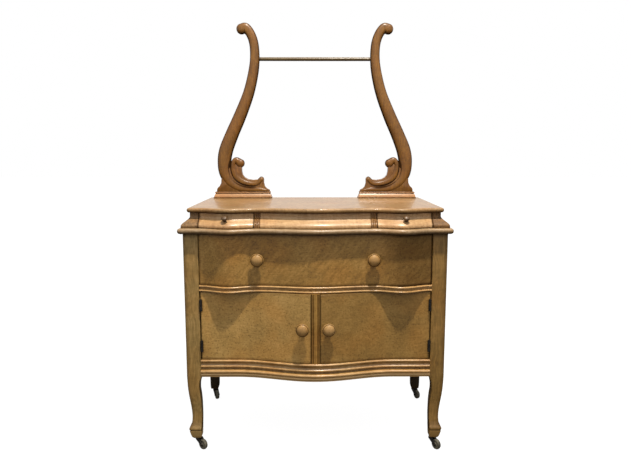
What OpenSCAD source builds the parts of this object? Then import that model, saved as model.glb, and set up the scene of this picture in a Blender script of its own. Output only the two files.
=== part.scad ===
// Washstand with a serpentine front and a lyre-shaped towel rack.
// X runs to the viewer's right, the front faces -Y and the floor is Z = 0.

/* [Case] */
// Width over the two front posts
case_w = 808; // [760:2:880]
// Depth from the front posts' faces to the back edge of the top
case_d = 446; // [400:2:500]
// Side of the square front posts
post = 46; // [40:1:52]
// Width of a rear post, seen from the back
rear_post_w = 34; // [32:1:44]
// Depth of a rear post
rear_post_d = 38; // [32:1:44]
// How far the rear posts stand in from the back edge of the top
rear_setback = 4; // [2:1:16]
// Thickness of a side panel
side_t = 10; // [6:1:14]
// Thickness of the side rails
side_rail_t = 22; // [16:1:24]
// How far a side rail's face lies behind the post's face
side_rail_in = 2; // [1:0.5:5]
// How far a side panel's face lies behind the post's face
side_panel_in = 9; // [5:1:14]
// Height of the upper side rails
side_rail_top_h = 42; // [30:1:60]
// Thickness of the back panel
back_t = 8; // [5:1:12]

/* [Heights] */
// Height of the casters, from the floor to the feet
caster_h = 38; // [36:1:50]
// Height of the legs below the bottom rail, casters left out
leg_h = 210; // [180:2:240]
// Height of the bottom rail
bottom_rail_h = 55; // [50:1:70]
// Height of the opening that the doors fill
door_open_h = 218; // [190:2:250]
// Height of the middle rail
mid_rail_h = 20; // [16:1:28]
// Height of the opening that the big drawer fills
drawer_open_h = 160; // [140:2:190]
// Thickness of the waist board
waist_t = 17; // [14:1:22]
// Height of the frieze
frieze_h = 46; // [36:1:54]
// Thickness of the top board
top_t = 14; // [11:1:20]

/* [Serpentine] */
// Forward swell of the drawer line in the middle
bow_upper = 31; // [20:1:40]
// Forward swell of its hollows
hollow_upper = 8; // [2:1:14]
// Forward swell of its outer lobes
lobe_upper = 29; // [16:1:36]
// Distance of a hollow from the middle
hollow_x = 182; // [170:1:200]
// Distance of a lobe from the middle
lobe_x = 264; // [240:1:290]
// Forward swell of the doors in the middle
bow_lower = 43; // [25:1:50]
// Half width of the doors' swell
bow_lower_x = 245; // [200:1:280]

/* [Top and frieze] */
// Overhang of the waist board past the case's sides
waist_out = 14; // [8:1:18]
// Overhang of the waist board past the posts' faces in front
waist_front = 19; // [10:1:24]
// Overhang of the frieze's foot past the posts
frieze_foot_out = 4; // [1:0.5:6]
// How far the frieze's neck lies inside the posts' faces
frieze_neck_in = 20; // [14:1:24]
// How far the top board's edge lies inside the posts' faces
top_in = 11.5; // [6:0.5:14]
// Thickness of the frieze's back board
frieze_back_t = 12; // [8:1:16]
// Depth of the small drawers' fronts and of the frieze's pieces behind the posts' faces
frieze_depth = 28; // [26:1:36]
// Inner face of the frieze's side pieces, from the posts' outer faces
frieze_side_in = 34; // [30:1:38]
// Half width of the frieze's middle panel
frieze_middle = 169; // [160:1:175]
// Width of a reeded divider
divider_w = 17; // [12:1:20]

/* [Drawers and doors] */
// Gap around a drawer's or a door's front
gap = 1.3; // [0.8:0.1:2]
// Running gap between a drawer and its guides
run_gap = 0.6; // [0.3:0.1:1]
// How far the big drawer's face lies behind the posts' faces
drawer_in = 4; // [1:0.5:8]
// Thickness of the big drawer's front
drawer_front_t = 20; // [16:1:24]
// How far the big drawer's sides lie inside the opening between the posts
drawer_side_in = 6; // [4:1:12]
// Thickness of the big drawer's sides and back
drawer_side_t = 12; // [9:1:14]
// Height of the big drawer's sides
drawer_side_h = 136; // [100:2:150]
// Thickness of the big drawer's bottom
drawer_bottom_t = 6; // [4:0.5:9]
// Clear space under the big drawer's bottom
drawer_bottom_up = 8; // [5:1:14]
// Clear space behind the big drawer
drawer_behind = 34; // [12:2:100]
// Thickness of the small drawers' sides and backs
small_side_t = 8; // [6:0.5:10]
// Thickness of the small drawers' bottoms
small_bottom_t = 4; // [3:0.5:6]
// Clear space behind the small drawers
small_behind = 100; // [12:2:160]
// How far the doors' flat outer parts lie behind the posts' faces
door_in = 2; // [0:0.5:5]
// Thickness of the doors
door_t = 19; // [16:1:22]
// Width of the centre stile's face
stile_w = 26; // [22:1:32]
// Width of the flange behind the doors
stile_flange_w = 46; // [38:1:56]
// Thickness of that flange
stile_flange_t = 12; // [8:1:16]

/* [Knobs] */
// Diameter of a large knob
knob_d = 41; // [34:1:48]
// How far a large knob stands out
knob_len = 28; // [24:1:40]
// Distance of the big drawer's knobs from the middle
drawer_knob_x = 177; // [150:1:200]
// Distance of the doors' knobs from the middle
door_knob_x = 38; // [36:1:60]
// Diameter of a small knob
small_knob_d = 19; // [15:1:23]
// Distance of the small knobs from the middle
small_knob_x = 272; // [250:1:290]
// Upward tilt of the small knobs
small_knob_tilt = 50; // [36:1:56]

/* [Hinges] */
// Length of a hinge
hinge_len = 35; // [28:1:45]
// Diameter of a hinge's barrel
barrel_d = 9; // [7:0.5:10]
// Diameter of a hinge's pin
hinge_pin_d = 4; // [3:0.5:5]
// Thickness of a hinge's leaf
leaf_t = 1.4; // [1:0.1:1.4]
// Gap between a post and the edge of a door
hinge_gap = 3; // [3:0.1:4]
// Height of the lower hinges' middle above the bottom rail
hinge_low = 45; // [30:1:60]
// Height of the upper hinges' middle above the bottom rail
hinge_high = 175; // [140:1:190]

/* [Casters] */
// Diameter of a wheel
wheel_d = 33; // [28:1:36]
// Width of a wheel
wheel_w = 12; // [9:1:14]
// Distance from the stem to the wheel's axle
trail = 20; // [16:1:24]
// Diameter of a caster's stem
stem_d = 8; // [6:0.5:9]
// Diameter of a wheel's axle
axle_d = 4; // [3:0.5:5]
// Distance of a front caster's stem from the post's two outer faces
stem_in = 27.5; // [26:0.5:30]

/* [Towel rack] */
// How far a plinth's outer end lies inside the posts' outer faces
plinth_end_in = 32; // [24:1:50]
// Length of a plinth
plinth_len = 213; // [190:1:230]
// Height of a plinth
plinth_h = 23; // [18:1:28]
// Depth of a plinth
plinth_d = 45; // [38:1:54]
// Height of the uprights above the plinths
rack_h = 600; // [520:5:680]
// Thickness of an upright
rack_t = 30; // [24:1:36]
// Diameter of the towel rod
rod_d = 13.5; // [11:0.5:18]
// Height of the rod above the plinths
rod_up = 476; // [400:2:520]
// How far the rod goes into each upright
rod_in = 12; // [8:1:16]

/* [Hidden] */

// Distance of the top board's front edge behind the posts' faces
top_front_in = 8;
// Radius of the boards' corners, seen from above
corner_r = 12;
// Clearance of a pin, stem or axle in its bore, and of a spigot in its hole
fit = 0.05;
spigot_fit = 0.1;
// Clearance between two pieces that pass close by each other
clear = 0.3;
// Steps along a curved front
steps = 40;
// How far the back panel lies inside the rear posts, and how far up it starts
back_in = 4;
back_up = 12;
// Depth of the bottom rail behind the posts' faces
rail_depth = 30;
// Thickness of the cupboard's floor
floor_t = 12;
// How far the corner blocks of the frieze reach past the posts' inner faces
corner_in = 2;

half_w = case_w / 2;
half_open = half_w - post;
z_rail = caster_h + leg_h;
z_doors = z_rail + bottom_rail_h;
z_mid = z_doors + door_open_h;
z_drawer = z_mid + mid_rail_h;
z_waist = z_drawer + drawer_open_h;
z_frieze = z_waist + waist_t;
z_top = z_frieze + frieze_h;
z_rack = z_top + top_t;
z_upright = z_rack + plinth_h;

upper_knots = [[0, bow_upper], [hollow_x, hollow_upper], [lobe_x, lobe_upper], [half_open, 0]];
lower_knots = [[0, bow_lower], [bow_lower_x, 0]];

// The deepest piece in front is a door's knob, and the origin is midway from it to the back edge
reach = lower(door_knob_x) - door_in + knob_len;
rear_y = (case_d + reach) / 2;
face_y = rear_y - case_d;
rear_post_back = rear_y - rear_setback;
rear_post_front = rear_post_back - rear_post_d;
back_front = rear_post_back - back_in - back_t;
panel_x = half_w - side_panel_in - side_t;
rail_x = half_w - side_rail_in - side_rail_t;
frieze_x = half_w - frieze_side_in;
corner_x = half_open - corner_in;
divider_x = frieze_middle + divider_w;

wood = [0.63, 0.47, 0.26];
wood_light = [0.76, 0.58, 0.34];
wood_dark = [0.52, 0.38, 0.2];
inner_wood = [0.72, 0.6, 0.42];
iron = [0.11, 0.11, 0.11];
brass = [0.6, 0.48, 0.26];
wheel_wood = [0.5, 0.43, 0.34];

// Curves and solids that several pieces share

function mix(a, b, t) = a + (b - a) * t;
function ease(t) = (1 - cos(180 * t)) / 2;
function last(list) = list[len(list) - 1];
function place(knots, t) = max([for (k = [0:len(knots) - 2]) t >= knots[k][0] ? k : 0]);

// A wave through its knots, level at each, the same on both sides of the middle
function wave(knots, x) =
    let (u = abs(x), i = place(knots, u), a = knots[i], b = knots[i + 1])
    u >= last(knots)[0] ? last(knots)[1] : mix(a[1], b[1], ease((u - a[0]) / (b[0] - a[0])));
function upper(x) = wave(upper_knots, x);
function lower(x) = wave(lower_knots, x);
function turn(f_before, f_after, span) = atan2(f_after - f_before, span);

// A smooth curve through knots of [place along, values ...]
function slope(k, i) =
    let (a = k[max(i - 1, 0)], b = k[min(i + 1, len(k) - 1)])
    (b - a) / (b[0] - a[0]);
function glide(k, t) =
    let (i = place(k, t), h = k[i + 1][0] - k[i][0], u = (t - k[i][0]) / h)
    k[i] * (1 + 2 * u) * (1 - u) * (1 - u) + slope(k, i) * h * u * (1 - u) * (1 - u)
    + k[i + 1] * u * u * (3 - 2 * u) + slope(k, i + 1) * h * u * u * (u - 1);

function spread(a, b, n) = [for (i = [0:n]) mix(a, b, i / n)];
function lift(points, z) = [for (p = points) [p[0], p[1], z]];

// A rectangle with round corners, counterclockwise
function soft_rect(x0, y0, x1, y1, r, n = 2) = [
    for (c = [[x1 - r, y1 - r, 0], [x0 + r, y1 - r, 90], [x0 + r, y0 + r, 180], [x1 - r, y0 + r, 270]],
        i = [0:n]) [c[0] + r * cos(c[2] + 90 * i / n), c[1] + r * sin(c[2] + 90 * i / n)]];

// A closed skin over rings that lie one above the other and run counterclockwise
module loft(rings) {
    n = len(rings[0]);
    m = len(rings);
    sides = [for (k = [0:m - 2], i = [0:n - 1])
        let (j = (i + 1) % n, a = k * n + i, b = (k + 1) * n + i, c = (k + 1) * n + j, d = k * n + j)
        each [[a, b, c], [a, c, d]]];
    bottom = [for (i = [0:n - 1]) i];
    top = [for (i = [0:n - 1]) (m - 1) * n + n - 1 - i];
    polyhedron([for (r = rings) each r], concat(sides, [bottom, top]), convexity = 6);
}

// A block between two corners
module block(a, b) {
    translate(a) cube(b - a);
}

// The same shape on both sides of the middle
module both() {
    children();
    mirror([1, 0, 0]) children();
}

// A bar of one section, given as points [x, z], from y0 to y1
module bar(section, y0, y1) {
    translate([0, y1, 0]) rotate([90, 0, 0]) linear_extrude(y1 - y0) polygon(section);
}

// An upright slab of one plan, from z0 to z1
module slab(plan, z0, z1) {
    translate([0, 0, z0]) linear_extrude(z1 - z0) polygon(plan);
}

// Front posts and cabriole legs

// Heights are parts of the leg's height, then how far the outer and the inner faces draw in
leg_knots = [[0, 13.5, 9.5], [0.02, 9.8, 7], [0.057, 6.8, 6.2], [0.105, 4.4, 5.8], [0.143, 2.8, 5.5],
    [0.176, 2.4, 5.2], [0.219, 7.6, 5], [0.271, 10.6, 4.6], [0.362, 11.4, 4.2], [0.49, 9.4, 4.4],
    [0.59, 6.8, 5], [0.69, 4.1, 6.4], [0.79, 2, 8.4], [0.89, 0.8, 7], [1, 0, 0]];
leg_levels = [0, 0.01, 0.02, 0.057, 0.105, 0.13, 0.137, 0.145, 0.16, 0.176, 0.19, 0.205, 0.219, 0.24,
    0.271, 0.31, 0.362, 0.43, 0.49, 0.54, 0.59, 0.64, 0.69, 0.74, 0.79, 0.84, 0.89, 0.93, 0.97, 1];
// Depth of the crease over the foot
crease = 1.2;

function leg_ring(level) =
    let (g = glide(leg_knots, level), out = g[1] + (level > 0.132 && level < 0.142 ? crease : 0), in = g[2])
    lift(soft_rect(half_open + in, face_y + out, half_w - out, face_y + post - in, 2.2),
        caster_h + leg_h * level);

module front_post() {
    color(wood) difference() {
        loft(concat([for (v = leg_levels) leg_ring(v)],
            [lift(soft_rect(half_open, face_y, half_w, face_y + post, 2.2), z_waist)]));
        socket_hole(front_stem);
        for (z = hinge_heights, s = [-1, 1]) leaf_screw_hole(z + s * hinge_len / 4);
    }
}
module front_post_right() { front_post(); }
module front_post_left() { mirror([1, 0, 0]) front_post(); }

// Rear posts, straight, with the front face of the leg sloping back

// Parts of the leg's height, then how far the front, the inner side and the outer side draw in
rear_leg_knots = [[0, 13, 5, 1.5], [0.035, 12, 2.5, 0.4], [0.1, 10.5, 1.5, 0], [0.55, 4, 0.5, 0], [1, 0, 0, 0]];

module rear_post() {
    color(wood_dark) difference() {
        loft(concat([for (k = rear_leg_knots)
            lift(soft_rect(half_w - rear_post_w + k[2], rear_post_front + k[1], half_w - k[3],
                rear_post_back, 2, 1), caster_h + leg_h * k[0])],
            [lift(soft_rect(half_w - rear_post_w, rear_post_front, half_w, rear_post_back, 2, 1), z_waist)]));
        socket_hole(rear_stem);
    }
}
module rear_posts() { both() rear_post(); }

// Case sides and back

module side_panel_right() {
    color(wood) block([panel_x, face_y + post, z_doors],
        [panel_x + side_t, rear_post_front, z_waist - side_rail_top_h]);
}
module side_panel_left() { mirror([1, 0, 0]) side_panel_right(); }

module side_rails() {
    color(wood) both() {
        block([rail_x, face_y + post, z_rail], [rail_x + side_rail_t, rear_post_front, z_doors]);
        block([rail_x, face_y + post, z_waist - side_rail_top_h],
            [rail_x + side_rail_t, rear_post_front, z_waist]);
    }
}

module back_panel() {
    edge = half_w - rear_post_w;
    color(inner_wood) block([-edge, back_front, z_rail + back_up], [edge, back_front + back_t, z_waist]);
}

// Top board and waist board

// Parts of the thickness, then how far the edge draws in, in millimetres
top_edge = [[0, 5.5], [0.12, 2], [0.3, 0.5], [0.5, 0], [0.72, 0.5], [0.88, 2.4], [0.97, 5], [1, 8]];
waist_edge = [[0, 8], [0.08, 3.6], [0.25, 1], [0.5, 0], [0.75, 1], [0.92, 3.6], [1, 8]];

function board_ring(half, front, back, in) =
    let (r = corner_r - in)
    concat(
        [for (i = [0:3]) let (a = 180 + 90 * i / 4)
            [r * cos(a) - half + corner_r, front + corner_r + r * sin(a)]],
        [for (x = spread(-half + corner_r, half - corner_r, steps)) [x, front + in - upper(x)]],
        [for (i = [1:4]) let (a = 270 + 90 * i / 4)
            [half - corner_r + r * cos(a), front + corner_r + r * sin(a)]],
        [[half - in, back], [-half + in, back]]);

module edged_board(half, front, back, z, t, edge) {
    loft([for (e = edge) lift(board_ring(half, front, back, e[1]), z + t * e[0])]);
}

module top_board() {
    color(wood_light) difference() {
        edged_board(half_w - top_in, face_y + top_front_in, rear_y, z_top, top_t, top_edge);
        rack_screw_holes();
    }
}

module waist_board() {
    color(wood_light) edged_board(half_w + waist_out, face_y - waist_front, rear_post_back, z_waist,
        waist_t, waist_edge);
}

// Frieze, an ogee that runs round the front and both sides

frieze_levels = 12;
// Parts of the frieze's height between which the ogee turns in
ogee_from = 0.12;
ogee_to = 0.74;
function ogee(t) = mix(frieze_foot_out, -frieze_neck_in,
    ease(min(max((t - ogee_from) / (ogee_to - ogee_from), 0), 1)));
function frieze_front(xs, t) = [for (x = xs) [x, face_y - upper(x) - ogee(t)]];

// A piece of the front of the frieze over given places across, with a flat back
module frieze_piece(xs, z0, z1, back) {
    loft([for (i = [0:frieze_levels])
        let (z = mix(z0, z1, i / frieze_levels), t = (z - z_frieze) / frieze_h)
        lift(concat(frieze_front(xs, t), [[last(xs), back], [xs[0], back]]), z)]);
}

module frieze_corner_right() {
    color(wood_light) loft([for (i = [0:frieze_levels])
        let (t = i / frieze_levels, e = ogee(t))
        lift([[corner_x, face_y - e], [half_w + e, face_y - e], [half_w + e, face_y + post],
            [corner_x, face_y + post]], z_frieze + frieze_h * t)]);
}
module frieze_corner_left() { mirror([1, 0, 0]) frieze_corner_right(); }

module frieze_side_right() {
    section = concat([for (i = [0:frieze_levels])
        let (t = i / frieze_levels) [half_w + ogee(t), z_frieze + frieze_h * t]],
        [[frieze_x, z_top], [frieze_x, z_frieze]]);
    color(wood_light) bar(section, face_y + post, rear_post_back);
}
module frieze_side_left() { mirror([1, 0, 0]) frieze_side_right(); }

// Reeds of the dividers: three ridges with grooves between
reed_count = 3;
reed_depth = 2;
module frieze_divider_right() {
    xs = spread(frieze_middle, divider_x, reed_count * 4);
    reed = [for (i = [0:len(xs) - 1]) reed_depth * (1 - abs(sin(180 * i / 4)))];
    color(wood_light) loft([for (k = [0:frieze_levels])
        let (t = k / frieze_levels, line = frieze_front(xs, t))
        lift(concat([for (i = [0:len(xs) - 1]) line[i] + [0, reed[i]]],
            [[divider_x, face_y + frieze_depth], [frieze_middle, face_y + frieze_depth]]),
            z_frieze + frieze_h * t)]);
}
module frieze_divider_left() { mirror([1, 0, 0]) frieze_divider_right(); }

module frieze_middle_panel() {
    color(wood_light) frieze_piece(spread(-frieze_middle, frieze_middle, 20), z_frieze, z_top,
        face_y + frieze_depth);
}

module frieze_back() {
    color(inner_wood) block([-frieze_x, rear_post_back - frieze_back_t, z_frieze],
        [frieze_x, rear_post_back, z_top]);
}

// Strips that keep the small drawers straight
small_in = divider_x + gap;
small_out = corner_x - gap;
guide_h = 20;
guide_w = 15;
module frieze_guides() {
    end = rear_post_back - frieze_back_t;
    color(inner_wood) both() {
        block([small_in - run_gap - guide_w, face_y + frieze_depth, z_frieze],
            [small_in - run_gap, end, z_frieze + guide_h]);
        block([small_out + run_gap, face_y + post, z_frieze], [frieze_x, end, z_frieze + guide_h]);
    }
}

// Middle rail with its two beads, dust panel and runners

// Parts of the rail's height, then how far the face stands out from the line of the drawer
mid_edge = [[0, 1], [0.06, 3.6], [0.16, 4.8], [0.26, 4.2], [0.32, 2], [0.38, 0.8], [0.6, 1.6], [0.66, 0.6],
    [0.72, 2.6], [0.82, 4.4], [0.93, 3.6], [1, 1.6]];

function rail_ring(xs, line, back, out) =
    concat([for (i = [0:len(xs) - 1]) [xs[i], line[i] - out]], [[last(xs), back], [xs[0], back]]);

module mid_rail() {
    xs = spread(-half_open, half_open, steps);
    line = [for (x = xs) face_y + drawer_in - upper(x)];
    color(wood_light) loft([for (e = mid_edge)
        lift(rail_ring(xs, line, face_y + post, e[1]), z_mid + mid_rail_h * e[0])]);
}

drawer_side_x = half_open - drawer_side_in;
// Distance of the runners' inner faces from the middle, and height of their guides beside the drawer
runner_in = 318;
runner_guide_h = 14;
dust_t = 6;
module dust_panel() {
    z = z_mid + (mid_rail_h - dust_t) / 2;
    color(inner_wood) block([-runner_in, face_y + post, z], [runner_in, back_front, z + dust_t]);
}

module drawer_runners() {
    guide_x = drawer_side_x + run_gap;
    z = z_drawer + runner_guide_h;
    section = [[runner_in, z_mid], [panel_x, z_mid], [panel_x, z], [guide_x, z], [guide_x, z_drawer],
        [runner_in, z_drawer]];
    color(inner_wood) both() bar(section, face_y + post, rear_post_front);
}

// Bottom rail, bowed, with beads of several sizes

// Parts of the rail's height from its underside, then how far the face stands out
bottom_edge = [[0, 3], [0.05, 3.4], [0.09, 5], [0.145, 7.2], [0.19, 6], [0.215, 4], [0.235, 5.4],
    [0.27, 8.2], [0.33, 9.4], [0.385, 8], [0.42, 4], [0.44, -2], [0.53, -2], [0.55, 2.4], [0.6, 4.6],
    [0.65, 4.2], [0.7, 1.4], [0.76, 0], [0.82, 0.6], [0.87, 2.4], [0.9, 4.6], [0.95, 5.6], [1, 3.4]];

module bottom_rail() {
    xs = concat([-half_open], spread(-bow_lower_x, bow_lower_x, steps - 6), [half_open]);
    line = [for (x = xs) face_y + door_in - lower(x)];
    color(wood_light) loft([for (e = bottom_edge)
        lift(rail_ring(xs, line, face_y + rail_depth, e[1]), z_rail + bottom_rail_h * e[0])]);
}

module cupboard_floor() {
    inner = half_w - rear_post_w;
    plan = [[-half_open, face_y + rail_depth], [half_open, face_y + rail_depth],
        [half_open, face_y + post], [rail_x, face_y + post], [rail_x, rear_post_front],
        [inner, rear_post_front], [inner, back_front], [-inner, back_front],
        [-inner, rear_post_front], [-rail_x, rear_post_front], [-rail_x, face_y + post],
        [-half_open, face_y + post]];
    color(inner_wood) slab(plan, z_doors - floor_t, z_doors);
}

block_leg = 24;
block_len = 50;
block_x = 200;
block_ys = [face_y + 90, rear_post_front - 100];
module glue_blocks() {
    z = z_doors - floor_t;
    color(inner_wood) both() {
        for (y = block_ys)
            bar([[rail_x, z], [rail_x - block_leg, z], [rail_x, z - block_leg]], y, y + block_len);
        translate([block_x, face_y + rail_depth, z]) rotate([90, 0, 90])
            linear_extrude(block_len) polygon([[0, 0], [0, -block_leg], [block_leg, 0]]);
    }
}

// Centre stile, with beads on its face and a flange that the doors close against

// How far its beads stand out past the doors, and the depth of the grooves beside them
stile_out = 1.5;
stile_groove = 2.2;
// Part of the half width that the middle bead takes, and how low the side beads lie beside it
stile_bead = 0.55;
side_bead = 0.25;
function stile_depth(u) = u < stile_bead ? 1 - cos(90 * u / stile_bead)
    : mix(side_bead, 1, abs(cos(180 * (u - stile_bead) / (1 - stile_bead))));
stile_face_y = face_y + door_in - bow_lower - stile_out;
module centre_stile() {
    h = stile_w / 2;
    f = stile_flange_w / 2;
    flange_y = face_y + door_in - lower(f) + door_t + clear;
    // A wide bead with a narrow one on each side
    beads = [for (i = [-20:20]) [h * i / 20, stile_face_y + stile_groove * stile_depth(abs(i) / 20)]];
    plan = concat(beads, [[h, flange_y], [f, flange_y], [f, flange_y + stile_flange_t],
        [-f, flange_y + stile_flange_t], [-f, flange_y], [-h, flange_y]]);
    color(wood) slab(plan, z_doors, z_mid);
}

// Big drawer

drawer_y = face_y + drawer_in;
drawer_inner_y = drawer_y + drawer_front_t;
drawer_z = z_drawer + clear;
drawer_back_y = back_front - drawer_behind;
// The front's inner face follows its outer one with smaller lobes, and is straight beside the sides
lobe_shift = 6;
lobe_drop = 4;
inner_flat = 10;
drawer_inner_knots = [[0, bow_upper], [hollow_x, hollow_upper], [lobe_x - lobe_shift, lobe_upper - lobe_drop],
    [drawer_side_x - drawer_side_t - inner_flat, 0]];
function inner_line(xs) = [for (x = xs) [x, drawer_inner_y - wave(drawer_inner_knots, x)]];
function reversed(list) = [for (i = [len(list) - 1:-1:0]) list[i]];

// Places across the front, close together so that its curve is true
front_xs = spread(-half_open + gap, half_open - gap, 2 * steps);

module drawer_front() {
    plan = concat([for (x = front_xs) [x, drawer_y - upper(x)]], reversed(inner_line(front_xs)));
    color(wood) difference() {
        slab(plan, z_drawer + gap, z_waist - gap);
        both() knob_hole(drawer_knob_seat);
    }
}

module drawer_sides() {
    color(inner_wood) both()
        block([drawer_side_x - drawer_side_t, drawer_inner_y, drawer_z],
            [drawer_side_x, drawer_back_y, drawer_z + drawer_side_h]);
}

module drawer_back() {
    x = drawer_side_x - drawer_side_t;
    color(inner_wood) block([-x, drawer_back_y - drawer_side_t,
        drawer_z + drawer_bottom_up + drawer_bottom_t], [x, drawer_back_y, drawer_z + drawer_side_h]);
}

module drawer_bottom() {
    x = drawer_side_x - drawer_side_t;
    xs = concat([-x], [for (v = front_xs) if (abs(v) < x - 1) v], [x]);
    line = [for (p = inner_line(xs)) p + [0, clear]];
    color(inner_wood) slab(concat(line, [[x, drawer_back_y], [-x, drawer_back_y]]),
        drawer_z + drawer_bottom_up, drawer_z + drawer_bottom_up + drawer_bottom_t);
}

// Large knobs, turned, with a spigot that is glued into the front

// Where a knob sits: [x, y, z, turn to face straight out of the curve, upward tilt]
drawer_knob_z = z_drawer + 0.505 * drawer_open_h;
door_knob_z = z_doors + 0.51 * door_open_h;
drawer_knob_seat = [drawer_knob_x, drawer_y - upper(drawer_knob_x), drawer_knob_z,
    -turn(upper(drawer_knob_x - 8), upper(drawer_knob_x + 8), 16), 0];
door_knob_seat = [door_knob_x, face_y + door_in - lower(door_knob_x), door_knob_z,
    -turn(lower(door_knob_x - 8), lower(door_knob_x + 8), 16), 0];
spigot_d = 14;
spigot_len = 16;
// How far a bore starts in the open, before the face that it is drilled into
lead = 10;

module seated(seat) {
    translate([seat[0], seat[1], seat[2]]) rotate([0, 0, seat[3]]) rotate([90 - seat[4], 0, 0]) children();
}

// Parts of the knob's radius, and parts of its length from the seat to the crown
knob_turning = [[0.56, 0], [0.6, 0.04], [0.58, 0.09], [0.46, 0.15], [0.42, 0.22], [0.46, 0.3], [0.64, 0.38],
    [0.87, 0.44], [0.97, 0.49], [1, 0.56], [0.97, 0.64], [0.9, 0.69], [0.86, 0.68], [0.83, 0.72],
    [0.72, 0.82], [0.54, 0.91], [0.3, 0.975], [0.02, 1]];

// The middle of a knob's foot stands off the curved front, so that its rim only just touches
knob_off = 0.6;
module large_knob() {
    color(wood_light) translate([0, 0, knob_off]) rotate_extrude($fn = 64) polygon(concat(
        [[0, -spigot_len], [spigot_d / 2, -spigot_len], [spigot_d / 2, 0]],
        [for (p = knob_turning) [p[0] * knob_d / 2, p[1] * (knob_len - knob_off)]],
        [[0, knob_len - knob_off]]));
}
module knob_hole(seat) {
    seated(seat) translate([0, 0, -spigot_len]) cylinder(h = spigot_len + lead, d = spigot_d + 2 * spigot_fit,
        $fn = 48);
}

module drawer_knobs() { both() seated(drawer_knob_seat) large_knob(); }
module door_knob_right() { seated(door_knob_seat) large_knob(); }
module door_knob_left() { mirror([1, 0, 0]) door_knob_right(); }

// Small drawers in the frieze

small_gap = 0.8;
module small_drawer_front_right() {
    color(wood_light) difference() {
        frieze_piece(spread(small_in, small_out, 12), z_frieze + small_gap, z_top - small_gap,
            face_y + frieze_depth);
        seated(small_knob_seat) translate([0, 0, -small_spigot_len])
            cylinder(h = small_spigot_len + lead, d = small_spigot_d + 2 * spigot_fit, $fn = 32);
    }
}
module small_drawer_front_left() { mirror([1, 0, 0]) small_drawer_front_right(); }

small_side_h = 32;
small_bottom_up = 2;
small_z = z_frieze + clear;
module small_drawer_box_right() {
    y0 = face_y + frieze_depth;
    y1 = rear_post_back - frieze_back_t - small_behind;
    a = small_in + small_side_t;
    b = small_out - small_side_t;
    z0 = small_z + small_bottom_up;
    z1 = z0 + small_bottom_t;
    color(inner_wood) {
        block([small_in, y0, small_z], [a, y1, small_z + small_side_h]);
        block([b, y0, small_z], [small_out, y1, small_z + small_side_h]);
        block([a, y1 - small_side_t, z1], [b, y1, small_z + small_side_h]);
        block([a, y0, z0], [b, y1, z1]);
    }
}
module small_drawer_box_left() { mirror([1, 0, 0]) small_drawer_box_right(); }

// The small knobs stand square to the steep part of the ogee, a little above its middle
small_spigot_d = 6;
small_spigot_len = 12;
small_knob_at = 0.5;
small_knob_seat = [small_knob_x, face_y - upper(small_knob_x) - ogee(small_knob_at),
    z_frieze + small_knob_at * frieze_h, 0, small_knob_tilt];
small_turning = [[0.54, 0], [0.58, 0.05], [0.52, 0.11], [0.42, 0.18], [0.4, 0.25], [0.56, 0.33],
    [0.8, 0.42], [0.95, 0.53], [1, 0.64], [0.95, 0.77], [0.8, 0.88], [0.56, 0.96], [0.25, 0.995]];
small_knob_len = 17;
module small_knob_right() {
    color(wood) seated(small_knob_seat) translate([0, 0, clear]) rotate_extrude($fn = 48) polygon(concat(
        [[0, -small_spigot_len], [small_spigot_d / 2, -small_spigot_len], [small_spigot_d / 2, 0]],
        [for (p = small_turning) [p[0] * small_knob_d / 2, p[1] * small_knob_len]],
        [[0, small_knob_len]]));
}
module small_knob_left() { mirror([1, 0, 0]) small_knob_right(); }

// Doors

door_edge_x = half_open - hinge_gap;
module door_right() {
    xs = spread(stile_w / 2 + gap, door_edge_x, 24);
    front = [for (x = xs) [x, face_y + door_in - lower(x)]];
    color(wood) difference() {
        slab(concat(front, [for (p = reversed(front)) p + [0, door_t]]), z_doors + gap, z_mid - gap);
        knob_hole(door_knob_seat);
        for (z = hinge_heights, s = [-1, 1]) door_screw_hole(z + s * hinge_len / 4);
    }
}
module door_left() { mirror([1, 0, 0]) door_right(); }

// Hinges: a barrel in front of the doors, leaves in the gap beside the posts

hinge_heights = [z_doors + hinge_low, z_doors + hinge_high];
barrel_r = barrel_d / 2;
axis_x = door_edge_x - 2;
axis_y = face_y + door_in - barrel_r - clear;
leaf_y0 = axis_y + barrel_r + clear;
leaf_y1 = face_y + door_in + door_t - 1;
leaf_mid_y = (leaf_y0 + leaf_y1) / 2;
knuckle = (hinge_len - 2 * clear) / 3;
screw_head_d = 6;
screw_d = 3;
screw_len = 12;

// A leaf with its knuckles, around the middle height z; x0 is the leaf's face nearer the middle
module leaf(x0, z, knuckles) {
    difference() {
        union() {
            block([x0, leaf_y0, z - hinge_len / 2], [x0 + leaf_t, leaf_y1, z + hinge_len / 2]);
            for (k = knuckles) {
                z0 = z - hinge_len / 2 + k * (knuckle + clear);
                translate([axis_x, axis_y, z0]) cylinder(h = knuckle, r = barrel_r, $fn = 40);
                block([x0, axis_y, z0], [x0 + leaf_t, leaf_y0 + 1, z0 + knuckle]);
            }
        }
        translate([axis_x, axis_y, z - hinge_len]) cylinder(h = 2 * hinge_len, d = hinge_pin_d + 2 * fit,
            $fn = 32);
        for (s = [-1, 1]) translate([x0 - 1, leaf_mid_y, z + s * hinge_len / 4]) rotate([0, 90, 0])
            cylinder(h = leaf_t + 2, d = screw_head_d + 2 * spigot_fit, $fn = 32);
    }
}

module leaf_screw_hole(z) {
    translate([half_open - 1, leaf_mid_y, z]) rotate([0, 90, 0])
        cylinder(h = 1 + screw_len + spigot_fit, d = screw_d + 2 * fit, $fn = 24);
}
module door_screw_hole(z) {
    translate([door_edge_x + 1, leaf_mid_y, z]) rotate([0, -90, 0])
        cylinder(h = 1 + screw_len + spigot_fit, d = screw_d + 2 * fit, $fn = 24);
}

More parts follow.
